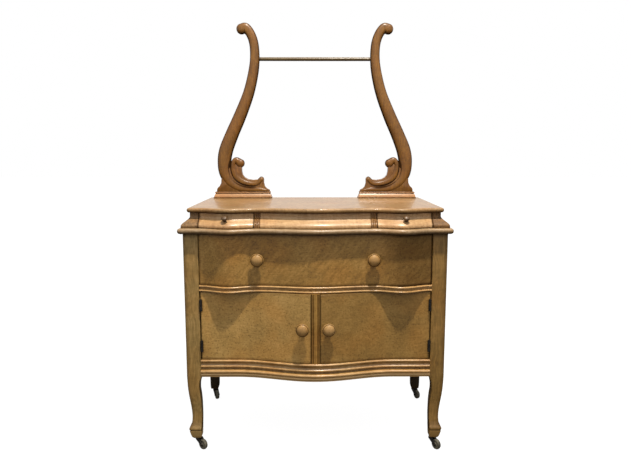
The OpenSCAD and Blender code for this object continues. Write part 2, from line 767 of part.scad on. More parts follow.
// A screw whose head lies in a leaf's hole, with its shank along +X
module screw() {
    rotate([0, 90, 0]) {
        cylinder(h = leaf_t, d = screw_head_d, $fn = 32);
        cylinder(h = leaf_t + screw_len, d = screw_d, $fn = 24);
    }
}

module hinge_leaves() {
    color(iron) both() for (z = hinge_heights) leaf(half_open - leaf_t, z, [0, 2]);
}

module hinge_screws() {
    color(iron) both() for (z = hinge_heights, s = [-1, 1])
        translate([half_open - leaf_t, leaf_mid_y, z + s * hinge_len / 4]) screw();
}

module hinge_pins() {
    color(iron) both() for (z = hinge_heights) translate([axis_x, axis_y, z - hinge_len / 2]) {
        cylinder(h = hinge_len, d = hinge_pin_d, $fn = 32);
        translate([0, 0, hinge_len]) cylinder(h = 1.6, d = barrel_d * 0.7, $fn = 32);
    }
}

module door_hinges_right() {
    color(iron) for (z = hinge_heights) {
        leaf(door_edge_x, z, [1]);
        for (s = [-1, 1]) translate([door_edge_x + leaf_t, leaf_mid_y, z + s * hinge_len / 4])
            mirror([1, 0, 0]) screw();
    }
}
module door_hinges_left() { mirror([1, 0, 0]) door_hinges_right(); }

// Casters: a socket in the foot, an iron horn with its stem and axle, and a wheel

rear_stem_in = 12;
front_stem = [half_w - stem_in, face_y + stem_in];
rear_stem = [half_w - rear_post_w / 2, rear_post_back - rear_stem_in];
socket_d = 12;
socket_len = 32;
flange_d = 19;
flange_t = 1.5;
stem_len = 28;
plate_t = 3;
plate_z = caster_h - flange_t - clear - plate_t;
axle_z = wheel_d / 2;
cheek_t = 2.2;
cheek_y = wheel_w / 2 + 0.8;
eye_r = 4.5;

module socket_hole(at) {
    translate([at[0], at[1], caster_h - 1]) cylinder(h = 1 + socket_len + spigot_fit, d = socket_d + 2 * fit,
        $fn = 40);
}

module socket(at) {
    translate([at[0], at[1], caster_h - flange_t]) difference() {
        union() {
            cylinder(h = flange_t, d = flange_d, $fn = 48);
            cylinder(h = flange_t + socket_len, d = socket_d, $fn = 40);
        }
        translate([0, 0, -1]) cylinder(h = socket_len + 3, d = stem_d + 2 * fit, $fn = 40);
    }
}

module caster_sockets() {
    color(brass) both() {
        socket(front_stem);
        socket(rear_stem);
    }
}

// How each caster happens to stand: [stem, side, direction in which the wheel trails]
standing = [[front_stem, -1, -38], [front_stem, 1, -55], [rear_stem, -1, -66], [rear_stem, 1, -68]];

module at_caster(k) {
    c = standing[k];
    translate([c[1] * c[0][0], c[0][1], 0]) rotate([0, 0, c[2]]) children();
}

// The horn trails along +X from its stem, with the axle along Y
horn_back = 6.5;
horn_front = 7.5;
horn_drop = 3;
module horn(k) {
    arm = [[-horn_back, plate_z + plate_t], [horn_front, plate_z + plate_t], [trail + eye_r - 0.4, axle_z + 1.6],
        [trail - eye_r + 0.4, axle_z - 1.6], [-horn_back, plate_z - horn_drop]];
    color(iron) at_caster(k) {
        translate([0, 0, plate_z]) cylinder(h = plate_t, d = flange_d - 1, $fn = 48);
        translate([0, 0, plate_z]) cylinder(h = caster_h - plate_z + stem_len, d = stem_d, $fn = 40);
        block([-horn_back, -cheek_y - cheek_t, plate_z - horn_drop], [4, cheek_y + cheek_t, plate_z + 1]);
        for (s = [-1, 1]) translate([0, s * (cheek_y + cheek_t / 2) + cheek_t / 2, 0]) rotate([90, 0, 0])
            linear_extrude(cheek_t) polygon(arm);
        for (s = [-1, 1]) translate([trail, s * (cheek_y + cheek_t / 2) + cheek_t / 2, axle_z])
            rotate([90, 0, 0]) cylinder(h = cheek_t, r = eye_r, $fn = 32);
        translate([trail, cheek_y + cheek_t + 1, axle_z]) rotate([90, 0, 0])
            cylinder(h = 2 * (cheek_y + cheek_t + 1), d = axle_d, $fn = 32);
    }
}

module wheel(k) {
    r = wheel_d / 2;
    w = wheel_w / 2;
    bore = axle_d / 2 + fit;
    half = [[bore, w], [6, w], [7, w - 1], [r - 3.6, w - 1], [r - 2, w - 0.5], [r - 0.7, w - 2], [r, w - 4]];
    color(wheel_wood) at_caster(k) translate([trail, 0, axle_z]) rotate([90, 0, 0])
        rotate_extrude($fn = 64) polygon(concat(half, [for (p = reversed(half)) [p[0], -p[1]]]));
}

module caster_front_left() { horn(0); }
module caster_front_right() { horn(1); }
module caster_rear_left() { horn(2); }
module caster_rear_right() { horn(3); }
module wheel_front_left() { wheel(0); }
module wheel_front_right() { wheel(1); }
module wheel_rear_left() { wheel(2); }
module wheel_rear_right() { wheel(3); }

// Towel rack: moulded plinths, carved uprights and the rod

// Parts of the plinth's height, then how far its moulding draws in
plinth_edge = [[0, 0], [0.17, 0], [0.2, 1.6], [0.36, 2.1], [0.56, 4.2], [0.74, 6.6], [0.78, 6.8],
    [0.81, 5.4], [0.9, 4.8], [0.97, 5.4], [1, 6.6]];
// How far the rack stands in from the back edge of the top
rack_in = 1;
upright_y = rear_y - rack_in - plinth_d / 2;

module rack_plinth_right() {
    y = rear_y - rack_in;
    color(wood_light) difference() {
        loft([for (e = plinth_edge) lift([[plinth_in + e[1], y - plinth_d + e[1]],
            [plinth_out - e[1], y - plinth_d + e[1]], [plinth_out - e[1], y], [plinth_in + e[1], y]],
            z_rack + plinth_h * e[0])]);
        rack_screw_holes();
    }
}
module rack_plinth_left() { mirror([1, 0, 0]) rack_plinth_right(); }

plinth_out = half_w - plinth_end_in;
plinth_in = plinth_out - plinth_len;

// The uprights are drawn for a rack of this height, on plinths that end at this distance from the middle
drawn_h = 600;
drawn_out = 372;
function across(x) = x * plinth_out / drawn_out;
function above(z) = z * rack_h / drawn_h;

// Middle lines of the carved limbs: [place along, distance from the middle, height above the plinth, half width]
stem_line = [[0, 262, 580, 18.5], [1, 247, 583, 17.5], [2, 230, 563, 16.5],
    [3, 218.5, 529, 16.5], [4, 216, 480, 17], [5, 222, 428, 18.5], [6, 240, 356, 20],
    [7, 271, 278, 22.5], [8, 303, 208, 24], [9, 326, 150, 25.5], [10, 333, 104, 24.5],
    [11, 329, 64, 21.5], [12, 310, 33, 17], [13, 275, 14, 13.5], [14, 235, 9.5, 9],
    [15, 200, 10, 8]];
scroll_line = [[0, 275, 104, 16.5], [1, 290, 115, 11], [2, 301, 99, 11],
    [3, 299, 76, 13], [4, 286, 51, 13.5], [5, 263, 35, 12.5], [6, 236, 28.5, 11.5],
    [7, 213, 32, 10], [8, 197, 46, 9.5]];
// The board behind the carving: the places of its two ends on the plinth, and its outline
board_ends = [361, 167];
foot_outline = [[344, 48], [345, 32], [351, 21], [359, 13.5], [board_ends[0], 7], [board_ends[0], 0],
    [board_ends[1], 0], [board_ends[1], 7], [177, 11.5], [184, 19], [188, 33], [188, 47], [207, 45.5],
    [228, 43.4], [247, 46.7], [258, 52.6], [265.5, 62], [268.5, 75], [269, 90], [298, 106]];
// How far that board lies behind the carving, on each face
board_in = 3;
foot_block_h = 5;

function limb_ring(line, s, out, grow, half_t) =
    let (p = glide(line, s), d = 0.02, a = glide(line, max(s - d, 0)), b = glide(line, min(s + d, last(line)[0])),
        t = [across(b[1] - a[1]), above(b[2] - a[2])], n = t / norm(t), w = above(p[3]))
    [for (i = [0:11]) let (c = cos(30 * i), e = sin(30 * i),
        u = w * grow * sign(c) * pow(abs(c), 0.75), v = half_t * grow * sign(e) * pow(abs(e), 0.75))
        [across(p[1]) + n[0] * out * w - n[1] * u, upright_y + v,
            z_upright + above(p[2]) + n[1] * out * w + n[0] * u]];

// A carved limb along a line, with round ends
module limb(line, n, half_t) {
    end = last(line)[0];
    rings = concat([limb_ring(line, 0, -0.9, 0.42, half_t), limb_ring(line, 0, -0.55, 0.84, half_t)],
        [for (i = [0:n]) limb_ring(line, end * i / n, 0, 1, half_t)],
        [limb_ring(line, end, 0.55, 0.84, half_t), limb_ring(line, end, 0.9, 0.42, half_t)]);
    for (i = [0:len(rings) - 2]) hull() loft([rings[i], rings[i + 1]]);
}

module rack_upright_right() {
    color(wood_dark) difference() {
        union() {
            limb(stem_line, 45, rack_t / 2);
            limb(scroll_line, 24, rack_t / 2 + 1);
            translate([0, upright_y + rack_t / 2 - board_in, z_upright]) rotate([90, 0, 0])
                linear_extrude(rack_t - 2 * board_in)
                polygon([for (p = foot_outline) [across(p[0]), above(p[1])]]);
            block([across(board_ends[1]), upright_y - rack_t / 2, z_upright],
                [across(board_ends[0]), upright_y + rack_t / 2, z_upright + foot_block_h]);
        }
        block([0, upright_y - rack_t, z_rack], [half_w, upright_y + rack_t, z_upright]);
        rack_screw_holes();
        translate([0, upright_y, rod_z]) rotate([0, 90, 0])
            cylinder(h = rod_half + spigot_fit, d = rod_d + 2 * spigot_fit, $fn = 32);
    }
}
module rack_upright_left() { mirror([1, 0, 0]) rack_upright_right(); }

rod_z = z_upright + rod_up;
// Half the rod's length: the distance of the uprights' inner faces, and what goes into them
rod_half = across(199) + rod_in;
module towel_rod() {
    color(wood) translate([-rod_half, upright_y, rod_z]) rotate([0, 90, 0])
        cylinder(h = 2 * rod_half, d = rod_d, $fn = 48);
}

rack_screw_from_in = 46;
rack_screw_from_out = 62;
rack_screw_x = [plinth_in + rack_screw_from_in, plinth_out - rack_screw_from_out];
rack_screw_head_d = 10;
rack_screw_head_t = 3;
rack_screw_d = 5;
// How far these screws go into the uprights, and their length from the underside of the top
rack_screw_grip = 26;
rack_screw_len = top_t + plinth_h + rack_screw_grip;
module rack_screws() {
    color(brass) both() for (x = rack_screw_x) translate([x, upright_y, z_top]) {
        cylinder(h = rack_screw_head_t, d = rack_screw_head_d, $fn = 32);
        cylinder(h = rack_screw_len, d = rack_screw_d, $fn = 24);
    }
}
module rack_screw_holes() {
    both() for (x = rack_screw_x) translate([x, upright_y, z_top]) {
        translate([0, 0, -1]) cylinder(h = 1 + rack_screw_head_t + spigot_fit,
            d = rack_screw_head_d + 2 * spigot_fit, $fn = 32);
        cylinder(h = rack_screw_len + spigot_fit, d = rack_screw_d + 2 * spigot_fit, $fn = 24);
    }
}

front_post_left();
front_post_right();
rear_posts();
side_panel_left();
side_panel_right();
side_rails();
back_panel();
top_board();
waist_board();
frieze_corner_left();
frieze_corner_right();
frieze_side_left();
frieze_side_right();
frieze_divider_left();
frieze_divider_right();
frieze_middle_panel();
frieze_back();
frieze_guides();
mid_rail();
dust_panel();
drawer_runners();
bottom_rail();
cupboard_floor();
centre_stile();
glue_blocks();
rack_plinth_left();
rack_plinth_right();
rack_upright_left();
rack_upright_right();
towel_rod();
rack_screws();
caster_sockets();
hinge_leaves();
hinge_pins();
hinge_screws();
drawer_front();
drawer_sides();
drawer_back();
drawer_bottom();
drawer_knobs();
small_drawer_front_left();
small_drawer_front_right();
small_drawer_box_left();
small_drawer_box_right();
small_knob_left();
small_knob_right();
door_left();
door_right();
door_knob_left();
door_knob_right();
door_hinges_left();
door_hinges_right();
caster_front_left();
caster_front_right();
caster_rear_left();
caster_rear_right();
wheel_front_left();
wheel_front_right();
wheel_rear_left();
wheel_rear_right();
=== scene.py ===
import math

import bmesh
import bpy
import numpy as np
from mathutils import Matrix, Vector


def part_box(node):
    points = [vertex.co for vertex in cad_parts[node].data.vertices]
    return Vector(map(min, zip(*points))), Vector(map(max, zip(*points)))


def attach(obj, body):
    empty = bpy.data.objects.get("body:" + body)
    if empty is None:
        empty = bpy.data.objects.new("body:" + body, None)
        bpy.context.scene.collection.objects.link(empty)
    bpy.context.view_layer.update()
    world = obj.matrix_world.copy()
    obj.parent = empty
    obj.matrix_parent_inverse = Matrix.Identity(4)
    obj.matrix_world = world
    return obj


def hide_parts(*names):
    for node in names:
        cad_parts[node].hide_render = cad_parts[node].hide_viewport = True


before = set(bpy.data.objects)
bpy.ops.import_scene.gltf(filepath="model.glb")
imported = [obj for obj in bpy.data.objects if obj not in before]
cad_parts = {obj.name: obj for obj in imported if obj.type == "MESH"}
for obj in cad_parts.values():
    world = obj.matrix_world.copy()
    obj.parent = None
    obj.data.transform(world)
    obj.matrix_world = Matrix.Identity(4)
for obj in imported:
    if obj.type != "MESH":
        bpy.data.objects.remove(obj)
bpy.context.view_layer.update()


# Camera, lamp and floor. The washstand stands in a white studio, seen from a little above its top,
# with one lamp high in front and to the right, and soft light from above and from the camera's side.
def linear(hex_value):
    """An sRGB hex value as linear red, green, blue and alpha."""
    parts = [int(hex_value[i:i + 2], 16) / 255 for i in (1, 3, 5)]
    return tuple(c / 12.92 if c <= 0.04045 else ((c + 0.055) / 1.055) ** 2.4 for c in parts) + (1,)


def put(tree, kind, ins=(), stops=(), **settings):
    """Adds a node, a shader's unless its kind says more, with its settings and its inputs.

    The inputs come in a list, or in a dict by name or number. Each is a value, an output of another
    node, or a node, which stands for its first output. Stops are a ramp's places and colours.
    """
    node = tree.nodes.new(kind if "Node" in kind else "ShaderNode" + kind)
    for k, (place, colour) in enumerate(stops):
        ramp = node.color_ramp.elements
        stop = ramp[k] if k < 2 else ramp.new(place)
        stop.position, stop.color = place, colour
    for key, value in settings.items():
        setattr(node, key, value)
    for key, value in ins.items() if isinstance(ins, dict) else enumerate(ins):
        if isinstance(value, bpy.types.Node):
            value = value.outputs[0]
        if isinstance(value, bpy.types.NodeSocket):
            tree.links.new(value, node.inputs[key])
        else:
            node.inputs[key].default_value = value
    return node


def bare(name):
    """A material without nodes yet, and its tree."""
    material = bpy.data.materials.new(name)
    material.use_nodes = True
    material.node_tree.nodes.clear()
    return material, material.node_tree


def shown(name, data):
    """An object for a mesh, lamp or camera, linked to the scene."""
    piece = bpy.data.objects.new(name, data)
    scene.collection.objects.link(piece)
    return piece


scene = bpy.context.scene
scene.view_settings.view_transform = "Standard"
photo_width, focal_pixels, sensor = 631, 598.14, 36
camera_data = bpy.data.cameras.new("camera")
camera_data.sensor_width = sensor
camera_data.lens = focal_pixels / photo_width * sensor
camera = shown("camera", camera_data)
camera.location = (-0.0100756, -1.98768, 0.946304)
look_down, look_left = 0.14039281, -0.00556247
camera.rotation_euler = (math.pi / 2 - look_down, 0, look_left)
scene.camera = camera

lamp_data = bpy.data.lights.new("front_lamp", "AREA")
lamp_data.shape = "RECTANGLE"
lamp_data.size = 0.1
lamp_data.size_y = 0.08
lamp_data.energy = 135
lamp_data.color = linear("#FFF6E8")[:3]
lamp = shown("front_lamp", lamp_data)
lamp.location = (0.3, -0.874, 3.2)
lamp_aim = Vector((0, -0.2, 0.5))
lamp.rotation_euler = (lamp_aim - lamp.location).to_track_quat("-Z", "Y").to_euler()

world = bpy.data.worlds.new("studio")
world.use_nodes = True
scene.world = world
tree = world.node_tree
tree.nodes.clear()
ray = put(tree, "LightPath")
seen = put(tree, "Math", [ray.outputs["Is Camera Ray"], ray.outputs["Is Glossy Ray"]], operation="MAXIMUM")
# What lights the wood comes from above and from the side of the camera, as in a room
white, from_above, from_below, from_front = 1.0, 0.85, 0.2, 0.75
way = put(tree, "TexCoord").outputs["Generated"]
heading = put(tree, "SeparateXYZ", [way])
fill = put(tree, "MapRange", {"Value": heading.outputs["Z"], "From Min": -0.3, "From Max": 0.6,
                              "To Min": from_below, "To Max": from_above})
ahead = put(tree, "Math", [heading.outputs["Y"], -from_front], operation="MULTIPLY")
ahead = put(tree, "Math", [ahead, 0.0], operation="MAXIMUM")
room = put(tree, "Math", [fill, ahead], operation="ADD")
strength = put(tree, "Mix", {0: seen, 2: room, 3: white})
sky = put(tree, "Background", {"Color": (1, 1, 1, 1), "Strength": strength})
put(tree, "OutputWorld", {"Surface": sky})

floor_half = 20
floor_mesh = bpy.data.meshes.new("floor")
floor_mesh.from_pydata([(floor_half * x, floor_half * y, 0) for x, y in ((-1, -1), (1, -1), (1, 1), (-1, 1))],
                       [], [(0, 1, 2, 3)])
floor = shown("floor", floor_mesh)
paper, tree = bare("white_paper")
# Only the camera sees the floor white; to the wood it is the dark floor of a room. The camera's white
# leaves a part of the lit floor, and with it the shadow.
glow_part, glow_strength = 0.84, 1.12 * white
ray = put(tree, "LightPath").outputs["Is Camera Ray"]
whiteness = put(tree, "Math", [ray, glow_part], operation="MULTIPLY")
tone = put(tree, "Mix", {0: ray, 6: linear("#4A4540"), 7: linear("#F0EFED")}, data_type="RGBA")
lit = put(tree, "BsdfDiffuse", {"Color": tone.outputs[2]})
glow = put(tree, "Emission", {"Color": (1, 1, 1, 1), "Strength": glow_strength})
sheet = put(tree, "MixShader", [whiteness, lit, glow])
put(tree, "OutputMaterial", {"Surface": sheet})
floor_mesh.materials.append(paper)


# Front posts. Each is one square length of maple that runs down into a cabriole leg with a small
# square foot, bandsawn and filed to shape, with its outer corner rounded.
def at(node):
    """A CAD piece's lowest and highest corner, in millimetres."""
    low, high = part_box(node)
    return low * 1000, high * 1000


def glide(knots, t):
    """A smooth curve through knots of [place along, values ...], at place t."""
    knots = np.asarray(knots, float)
    i = int(np.clip(np.searchsorted(knots[:, 0], t, side="right") - 1, 0, len(knots) - 2))
    a, b = knots[i], knots[i + 1]
    before, after = knots[max(i - 1, 0)], knots[min(i + 2, len(knots) - 1)]
    start = (b - before) / (b[0] - before[0])
    end = (after - a) / (after[0] - a[0])
    h = b[0] - a[0]
    u = (t - a[0]) / h
    return (a * (1 + 2 * u) * (1 - u) ** 2 + start * h * u * (1 - u) ** 2
            + b * u * u * (3 - 2 * u) + end * h * u * u * (u - 1))


def round_rect(x0, y0, x1, y1, radii, n=6):
    """A rectangle with rounded corners; the radii start at the far right corner and run counterclockwise."""
    corners = [(x1, y1, -1, -1), (x0, y1, 1, -1), (x0, y0, 1, 1), (x1, y0, -1, 1)]
    points = []
    for k, (x, y, sx, sy) in enumerate(corners):
        for i in range(n + 1):
            a = math.radians(90 * k + 90 * i / n)
            points.append((x + sx * radii[k] + radii[k] * math.cos(a),
                           y + sy * radii[k] + radii[k] * math.sin(a)))
    return points


def near(v, place, reach):
    """One at a place, falling evenly to zero at its reach on both sides."""
    return max(0, 1 - abs(v - place) / reach)


def rising(v, start, span):
    """Zero up to a start, then rising evenly to one over a span."""
    return min(1, max(0, (v - start) / span))


def full_turn(count):
    """Angles all the way round."""
    return np.linspace(0, 2 * math.pi, count, endpoint=False)


def lift(points, z):
    return [(x, y, z) for x, y in points]


def mirrored(rings, side):
    return [[(side * x, y, z) for x, y, z in ring] for ring in rings]


def make(name, shells, sharp=35, looped=False):
    """One mesh of closed shells. Each shell is its rings of points and, for each point, a figure for how worn
    and soiled it is and for painted light and shade.

    A shell has a cap on its first and on its last ring, or else it is looped and they are joined.
    """
    points, faces, wear_and_painted_light = [], [], []
    for rings, rubbed_and_shaded in shells:
        base, rows, count = len(points), len(rings), len(rings[0])
        points += [(0.001 * x, 0.001 * y, 0.001 * z) for ring in rings for x, y, z in ring]
        wear_and_painted_light += [w for row in rubbed_and_shaded for w in row]
        for r in range(rows if looped else rows - 1):
            low, high = base + r * count, base + (r + 1) % rows * count
            for i in range(count):
                k = (i + 1) % count
                faces.append((low + i, low + k, high + k, high + i))
        if not looped:
            faces.append(tuple(range(base, base + count))[::-1])
            faces.append(tuple(range(base + (rows - 1) * count, base + rows * count)))
    mesh = bpy.data.meshes.new(name)
    mesh.from_pydata(points, [], faces)
    mesh.attributes.new("wear_and_painted_light", "FLOAT", "POINT").data.foreach_set("value", wear_and_painted_light)
    form = bmesh.new()
    form.from_mesh(mesh)
    bmesh.ops.recalc_face_normals(form, faces=form.faces)
    form.to_mesh(mesh)
    form.free()
    mesh.shade_smooth()
    mesh.set_sharp_from_angle(angle=math.radians(sharp))
    return shown(name, mesh)


def maple(name, tones, along, eyes=0.6, ripples=0.4, gloss=0.42, coat=0.3, haze=0.28, slant=0):
    """Lacquered bird's-eye maple: its pale, middle and dark tone, and its grain along X, Y or Z."""
    pale, mid, dark = (linear(tone) for tone in tones.split())
    material, tree = bare(name)
    place = put(tree, "TexCoord").outputs["Object"]
    grain = np.array([axis == along for axis in "XYZ"], float)
    # The figure drifts by up to 8 mm over some 90 mm
    drift = put(tree, "TexNoise", {"Vector": place, "Scale": 1 / 0.09, "Detail": 1.0})
    middle = put(tree, "VectorMath", [drift.outputs["Color"], (0.5, 0.5, 0.5)], operation="SUBTRACT")
    bent = put(tree, "VectorMath", [middle, (0.03, 0.03, 0.03), place], operation="MULTIPLY_ADD")
    # Fibres are 3 mm apart here, coarser than the real ones, so that they show
    across, length = 1 / 0.003, 1 / 0.07
    fibre_place = put(tree, "VectorMath", [bent, tuple(across + grain * (length - across))],
                      operation="MULTIPLY")
    fibre = put(tree, "TexNoise", {"Vector": fibre_place, "Scale": 1.0, "Detail": 2.0})
    # Broad figure in patches of about 70 mm, and a mottle of about 6 mm
    figure = put(tree, "TexNoise", {"Vector": bent, "Scale": 1 / 0.07, "Detail": 2.0})
    mottle = put(tree, "TexNoise", {"Vector": bent, "Scale": 1 / 0.006, "Detail": 2.0})
    # Curl in slanting ripples of about 9 mm
    wide, ripple = 1 / 0.035, 1 / 0.009
    slanted = put(tree, "VectorRotate", {"Vector": bent, "Angle": math.radians(slant)},
                  rotation_type="Y_AXIS")
    curl_place = put(tree, "VectorMath", [slanted, tuple(wide + grain * (ripple - wide))],
                     operation="MULTIPLY")
    curl = put(tree, "TexNoise", {"Vector": curl_place, "Scale": 1.0, "Detail": 1.0})
    # Eyes of 3 mm with a dark rim, in some of the cells of 7 mm
    cells = put(tree, "TexVoronoi", {"Vector": bent, "Scale": 1 / 0.007})
    rim = put(tree, "ValToRGB", {"Fac": cells.outputs["Distance"]},
              [(v, (grey, grey, grey, 1)) for v, grey in ((0.0, 0.5), (0.34, 0), (0.1, 1), (0.22, 0.6))])
    chance = put(tree, "SeparateColor", {"Color": cells.outputs["Color"]})
    chosen = put(tree, "Math", [chance.outputs["Red"], 1 - eyes], operation="GREATER_THAN")
    eye = put(tree, "Math", [rim, chosen], operation="MULTIPLY")
    # Each pattern but the eyes varies about a half, so the sum is brought back to the middle tone
    shares = ((figure, 0.45), (mottle, 0.25 + 0.3 * eyes), (fibre, 0.85 - 0.5 * eyes), (curl, ripples),
              (eye, 0.28))
    tone = 0.5 - sum(share for _, share in shares[:4]) / 2
    for source, share in shares:
        tone = put(tree, "Math", [source, share, tone], operation="MULTIPLY_ADD")
    colour = put(tree, "ValToRGB", {"Fac": tone}, ((0.22, pale), (0.9, dark), (0.52, mid)))
    # The lacquer has yellowed unevenly, to orange in broad patches
    orange = put(tree, "MapRange", {"Value": drift.outputs["Fac"], "From Min": 0.42,
                                    "From Max": 0.66, "To Min": 0.0, "To Max": 0.45})
    warmer = put(tree, "Mix", {0: orange, 6: colour, 7: (1.1, 0.9, 0.66, 1)}, data_type="RGBA",
                 blend_type="MULTIPLY")
    # Worn crests turn paler and hollows hold old grime and stain, and the same figure carries painted
    # highlights and painted shade
    rubbed_and_shaded = put(tree, "Attribute", attribute_name="wear_and_painted_light").outputs["Fac"]
    crest_and_highlight = put(tree, "Math", [rubbed_and_shaded, 0.7], operation="MULTIPLY", use_clamp=True)
    dirt_and_shade = put(tree, "Math", [rubbed_and_shaded, -0.85], operation="MULTIPLY", use_clamp=True)
    paler = put(tree, "Mix", {0: crest_and_highlight, 6: warmer.outputs[2], 7: pale}, data_type="RGBA")
    darkened = put(tree, "Mix", {0: dirt_and_shade, 6: paler.outputs[2], 7: linear("#2E1C0C")}, data_type="RGBA")
    dull = put(tree, "Math", [fibre, 0.12, gloss - 0.06], operation="MULTIPLY_ADD")
    dull = put(tree, "Math", [dirt_and_shade, 0.3, dull], operation="MULTIPLY_ADD")
    shine = put(tree, "Math", [dirt_and_shade, -0.3, 0.3], operation="MULTIPLY_ADD")
    lacquer = put(tree, "Math", [dirt_and_shade, -coat, coat], operation="MULTIPLY_ADD")
    height = put(tree, "Math", [eye, -0.6, fibre], operation="MULTIPLY_ADD")
    bump = put(tree, "Bump", {"Strength": 0.3, "Distance": 0.0002, "Height": height})
    shader = put(tree, "BsdfPrincipled", {"Base Color": darkened.outputs[2], "Roughness": dull, "IOR": 1.5,
                                          "Specular IOR Level": shine, "Normal": bump,
                                          "Coat Weight": lacquer, "Coat Roughness": haze})
    put(tree, "OutputMaterial", {"Surface": shader})
    return material


def dress(piece, body, material, slot, *nodes):
    """Gives a piece its finish and its place in the object, instead of its CAD pieces."""
    if material:
        piece.data.materials.append(material)
    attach(piece, body)
    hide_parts(*nodes)


sides = ((-1, "left"), (1, "right"))
post_low, post_high = at("front_post_right")
face_y, half_w, half_open = post_low.y, post_high.x, post_low.x
post_back = post_high.y
foot_z, waist_z = post_low.z, post_high.z
rail_z, doors_z = (corner.z for corner in at("bottom_rail"))
# Parts of the leg's height, then how far its outer and inner faces draw in
leg_knots = [(0, 13.5, 9.5), (0.02, 9.8, 7), (0.057, 6.8, 6.2), (0.105, 4.4, 5.8), (0.143, 2.8, 5.5),
             (0.176, 2.4, 5.2), (0.219, 7.6, 5), (0.271, 10.6, 4.6), (0.362, 11.4, 4.2), (0.49, 9.4, 4.4),
             (0.59, 6.8, 5), (0.69, 4.1, 6.4), (0.79, 2, 8.4), (0.89, 0.8, 7), (1, 0, 0)]
crease_at, crease_half, crease_deep = 0.137, 0.012, 1.6
flare_at, flare_half, dirty_tip = crease_at + 0.09, 0.1, 0.05
toe_r, outer_r, outer_shade_w = 2.5, 6, 7
# The left post has lighter tones than the right one: painted light.
post_tones = {"left": "#9C7F4F #81683A #594523", "right": "#8B6A39 #72572A #503917"}
# The foot below the crease gets a painted highlight, stronger on the right.
foot_highlight = {"left": 1, "right": 1.6}
# A ring has seven points to a corner, and one more before those of the outer corner
inner_points, outer_corner, ring_points = range(8, 15), 21, 29


def post_ring(out, within, soft):
    """A post's outline, drawn in on its outer and inner faces, with one point more where the painted shade of
    the outer corner begins.
    """
    ring = round_rect(half_open + within, face_y + out, half_w - out, post_back - within, (2, 2, 3, soft))
    ring.insert(outer_corner, (half_w - out - soft - outer_shade_w, face_y + out))
    return ring


def leg_z(level):
    """The height of a part of the leg."""
    return foot_z + (rail_z - foot_z) * level


def post_grime_and_shade(dirt_and_shade, inner):
    """Painted shade darkens the outer corner, and the inner side by a given amount."""
    return [dirt_and_shade - (0.4 if k > outer_corner else inner if k in inner_points else 0)
            for k in range(ring_points)]


for side, word in sides:
    rings, rubbed_and_shaded = [], []
    for level in np.concatenate([np.linspace(0, 0.3, 46), np.linspace(0.32, 1, 50)]):
        _, out, within = glide(leg_knots, level)
        crease = near(level, crease_at, crease_half)
        soft = toe_r + (outer_r - toe_r) * rising(level, 0.25, 0.2)
        rings.append(lift(post_ring(out + crease_deep * crease, within, soft), leg_z(level)))
        # Painted shade in the crease, grime at the tip, darker round the flare, and a painted highlight below
        # the crease
        dirt_and_shade = -crease - 0.5 * near(level, 0, dirty_tip) - 0.45 * near(level, flare_at, flare_half)
        dirt_and_shade += foot_highlight[word] * rising(-level, -crease_at, 0.02)
        rubbed_and_shaded.append(post_grime_and_shade(dirt_and_shade, 0.6))
    for z in (rail_z + 4, waist_z - 14, waist_z - 4, waist_z):
        rings.append(lift(post_ring(0, 0, outer_r), z))
        # Painted shade at the top of the post, under the waist board
        rubbed_and_shaded.append(post_grime_and_shade(-0.7 * near(z, waist_z, 14), 0))
    post_maple = maple(word + "_post_maple", post_tones[word], "Z", eyes=0.0, ripples=0.2)
    dress(make("post_" + word, [(mirrored(rings, side), rubbed_and_shaded)]), "case", post_maple, "maple",
          "front_post_" + word)


# Rear posts. They are straight and plain, with the front of each leg sawn to a taper.
rear_low, rear_high = at("rear_posts")
rear_w, rear_back, rear_front = 34, rear_high.y, rear_low.y
rear_knots = [(0, 13, 5, 1.5), (0.035, 12, 2.5, 0.4), (0.1, 10.5, 1.5, 0), (0.55, 4, 0.5, 0), (1, 0, 0, 0)]
# Their tones are near black: painted shade, for the shade they stand in under the case.
rear_maple = maple("rear_post_maple", "#32270F #231705 #140C02", "Z", eyes=0.0, ripples=0.2,
                   gloss=0.55, coat=0.0)


def rear_ring(front, inner, outer):
    """A rear post's outline, drawn in on its front, inner and outer faces."""
    return round_rect(half_w - rear_w + inner, rear_front + front, half_w - outer, rear_back, (2, 2, 2, 3))


rings, rubbed_and_shaded = [], []
for level in np.linspace(0, 1, 24):
    _, front, inner, outer = glide(rear_knots, level)
    rings.append(lift(rear_ring(front, inner, outer), leg_z(level)))
    rubbed_and_shaded.append([-0.6 * near(level, 0, 0.08)] * len(rings[0]))
# Painted shade at the top of each post, under the waist board
for z, dirt_and_shade in ((waist_z - 10, 0), (waist_z, -0.5)):
    rings.append(lift(rear_ring(0, 0, 0), z))
    rubbed_and_shaded.append([dirt_and_shade] * len(rings[0]))
dress(make("rear_legs", [(mirrored(rings, side), rubbed_and_shaded) for side, _ in sides]), "case", rear_maple,
      "maple_dark", "rear_posts")


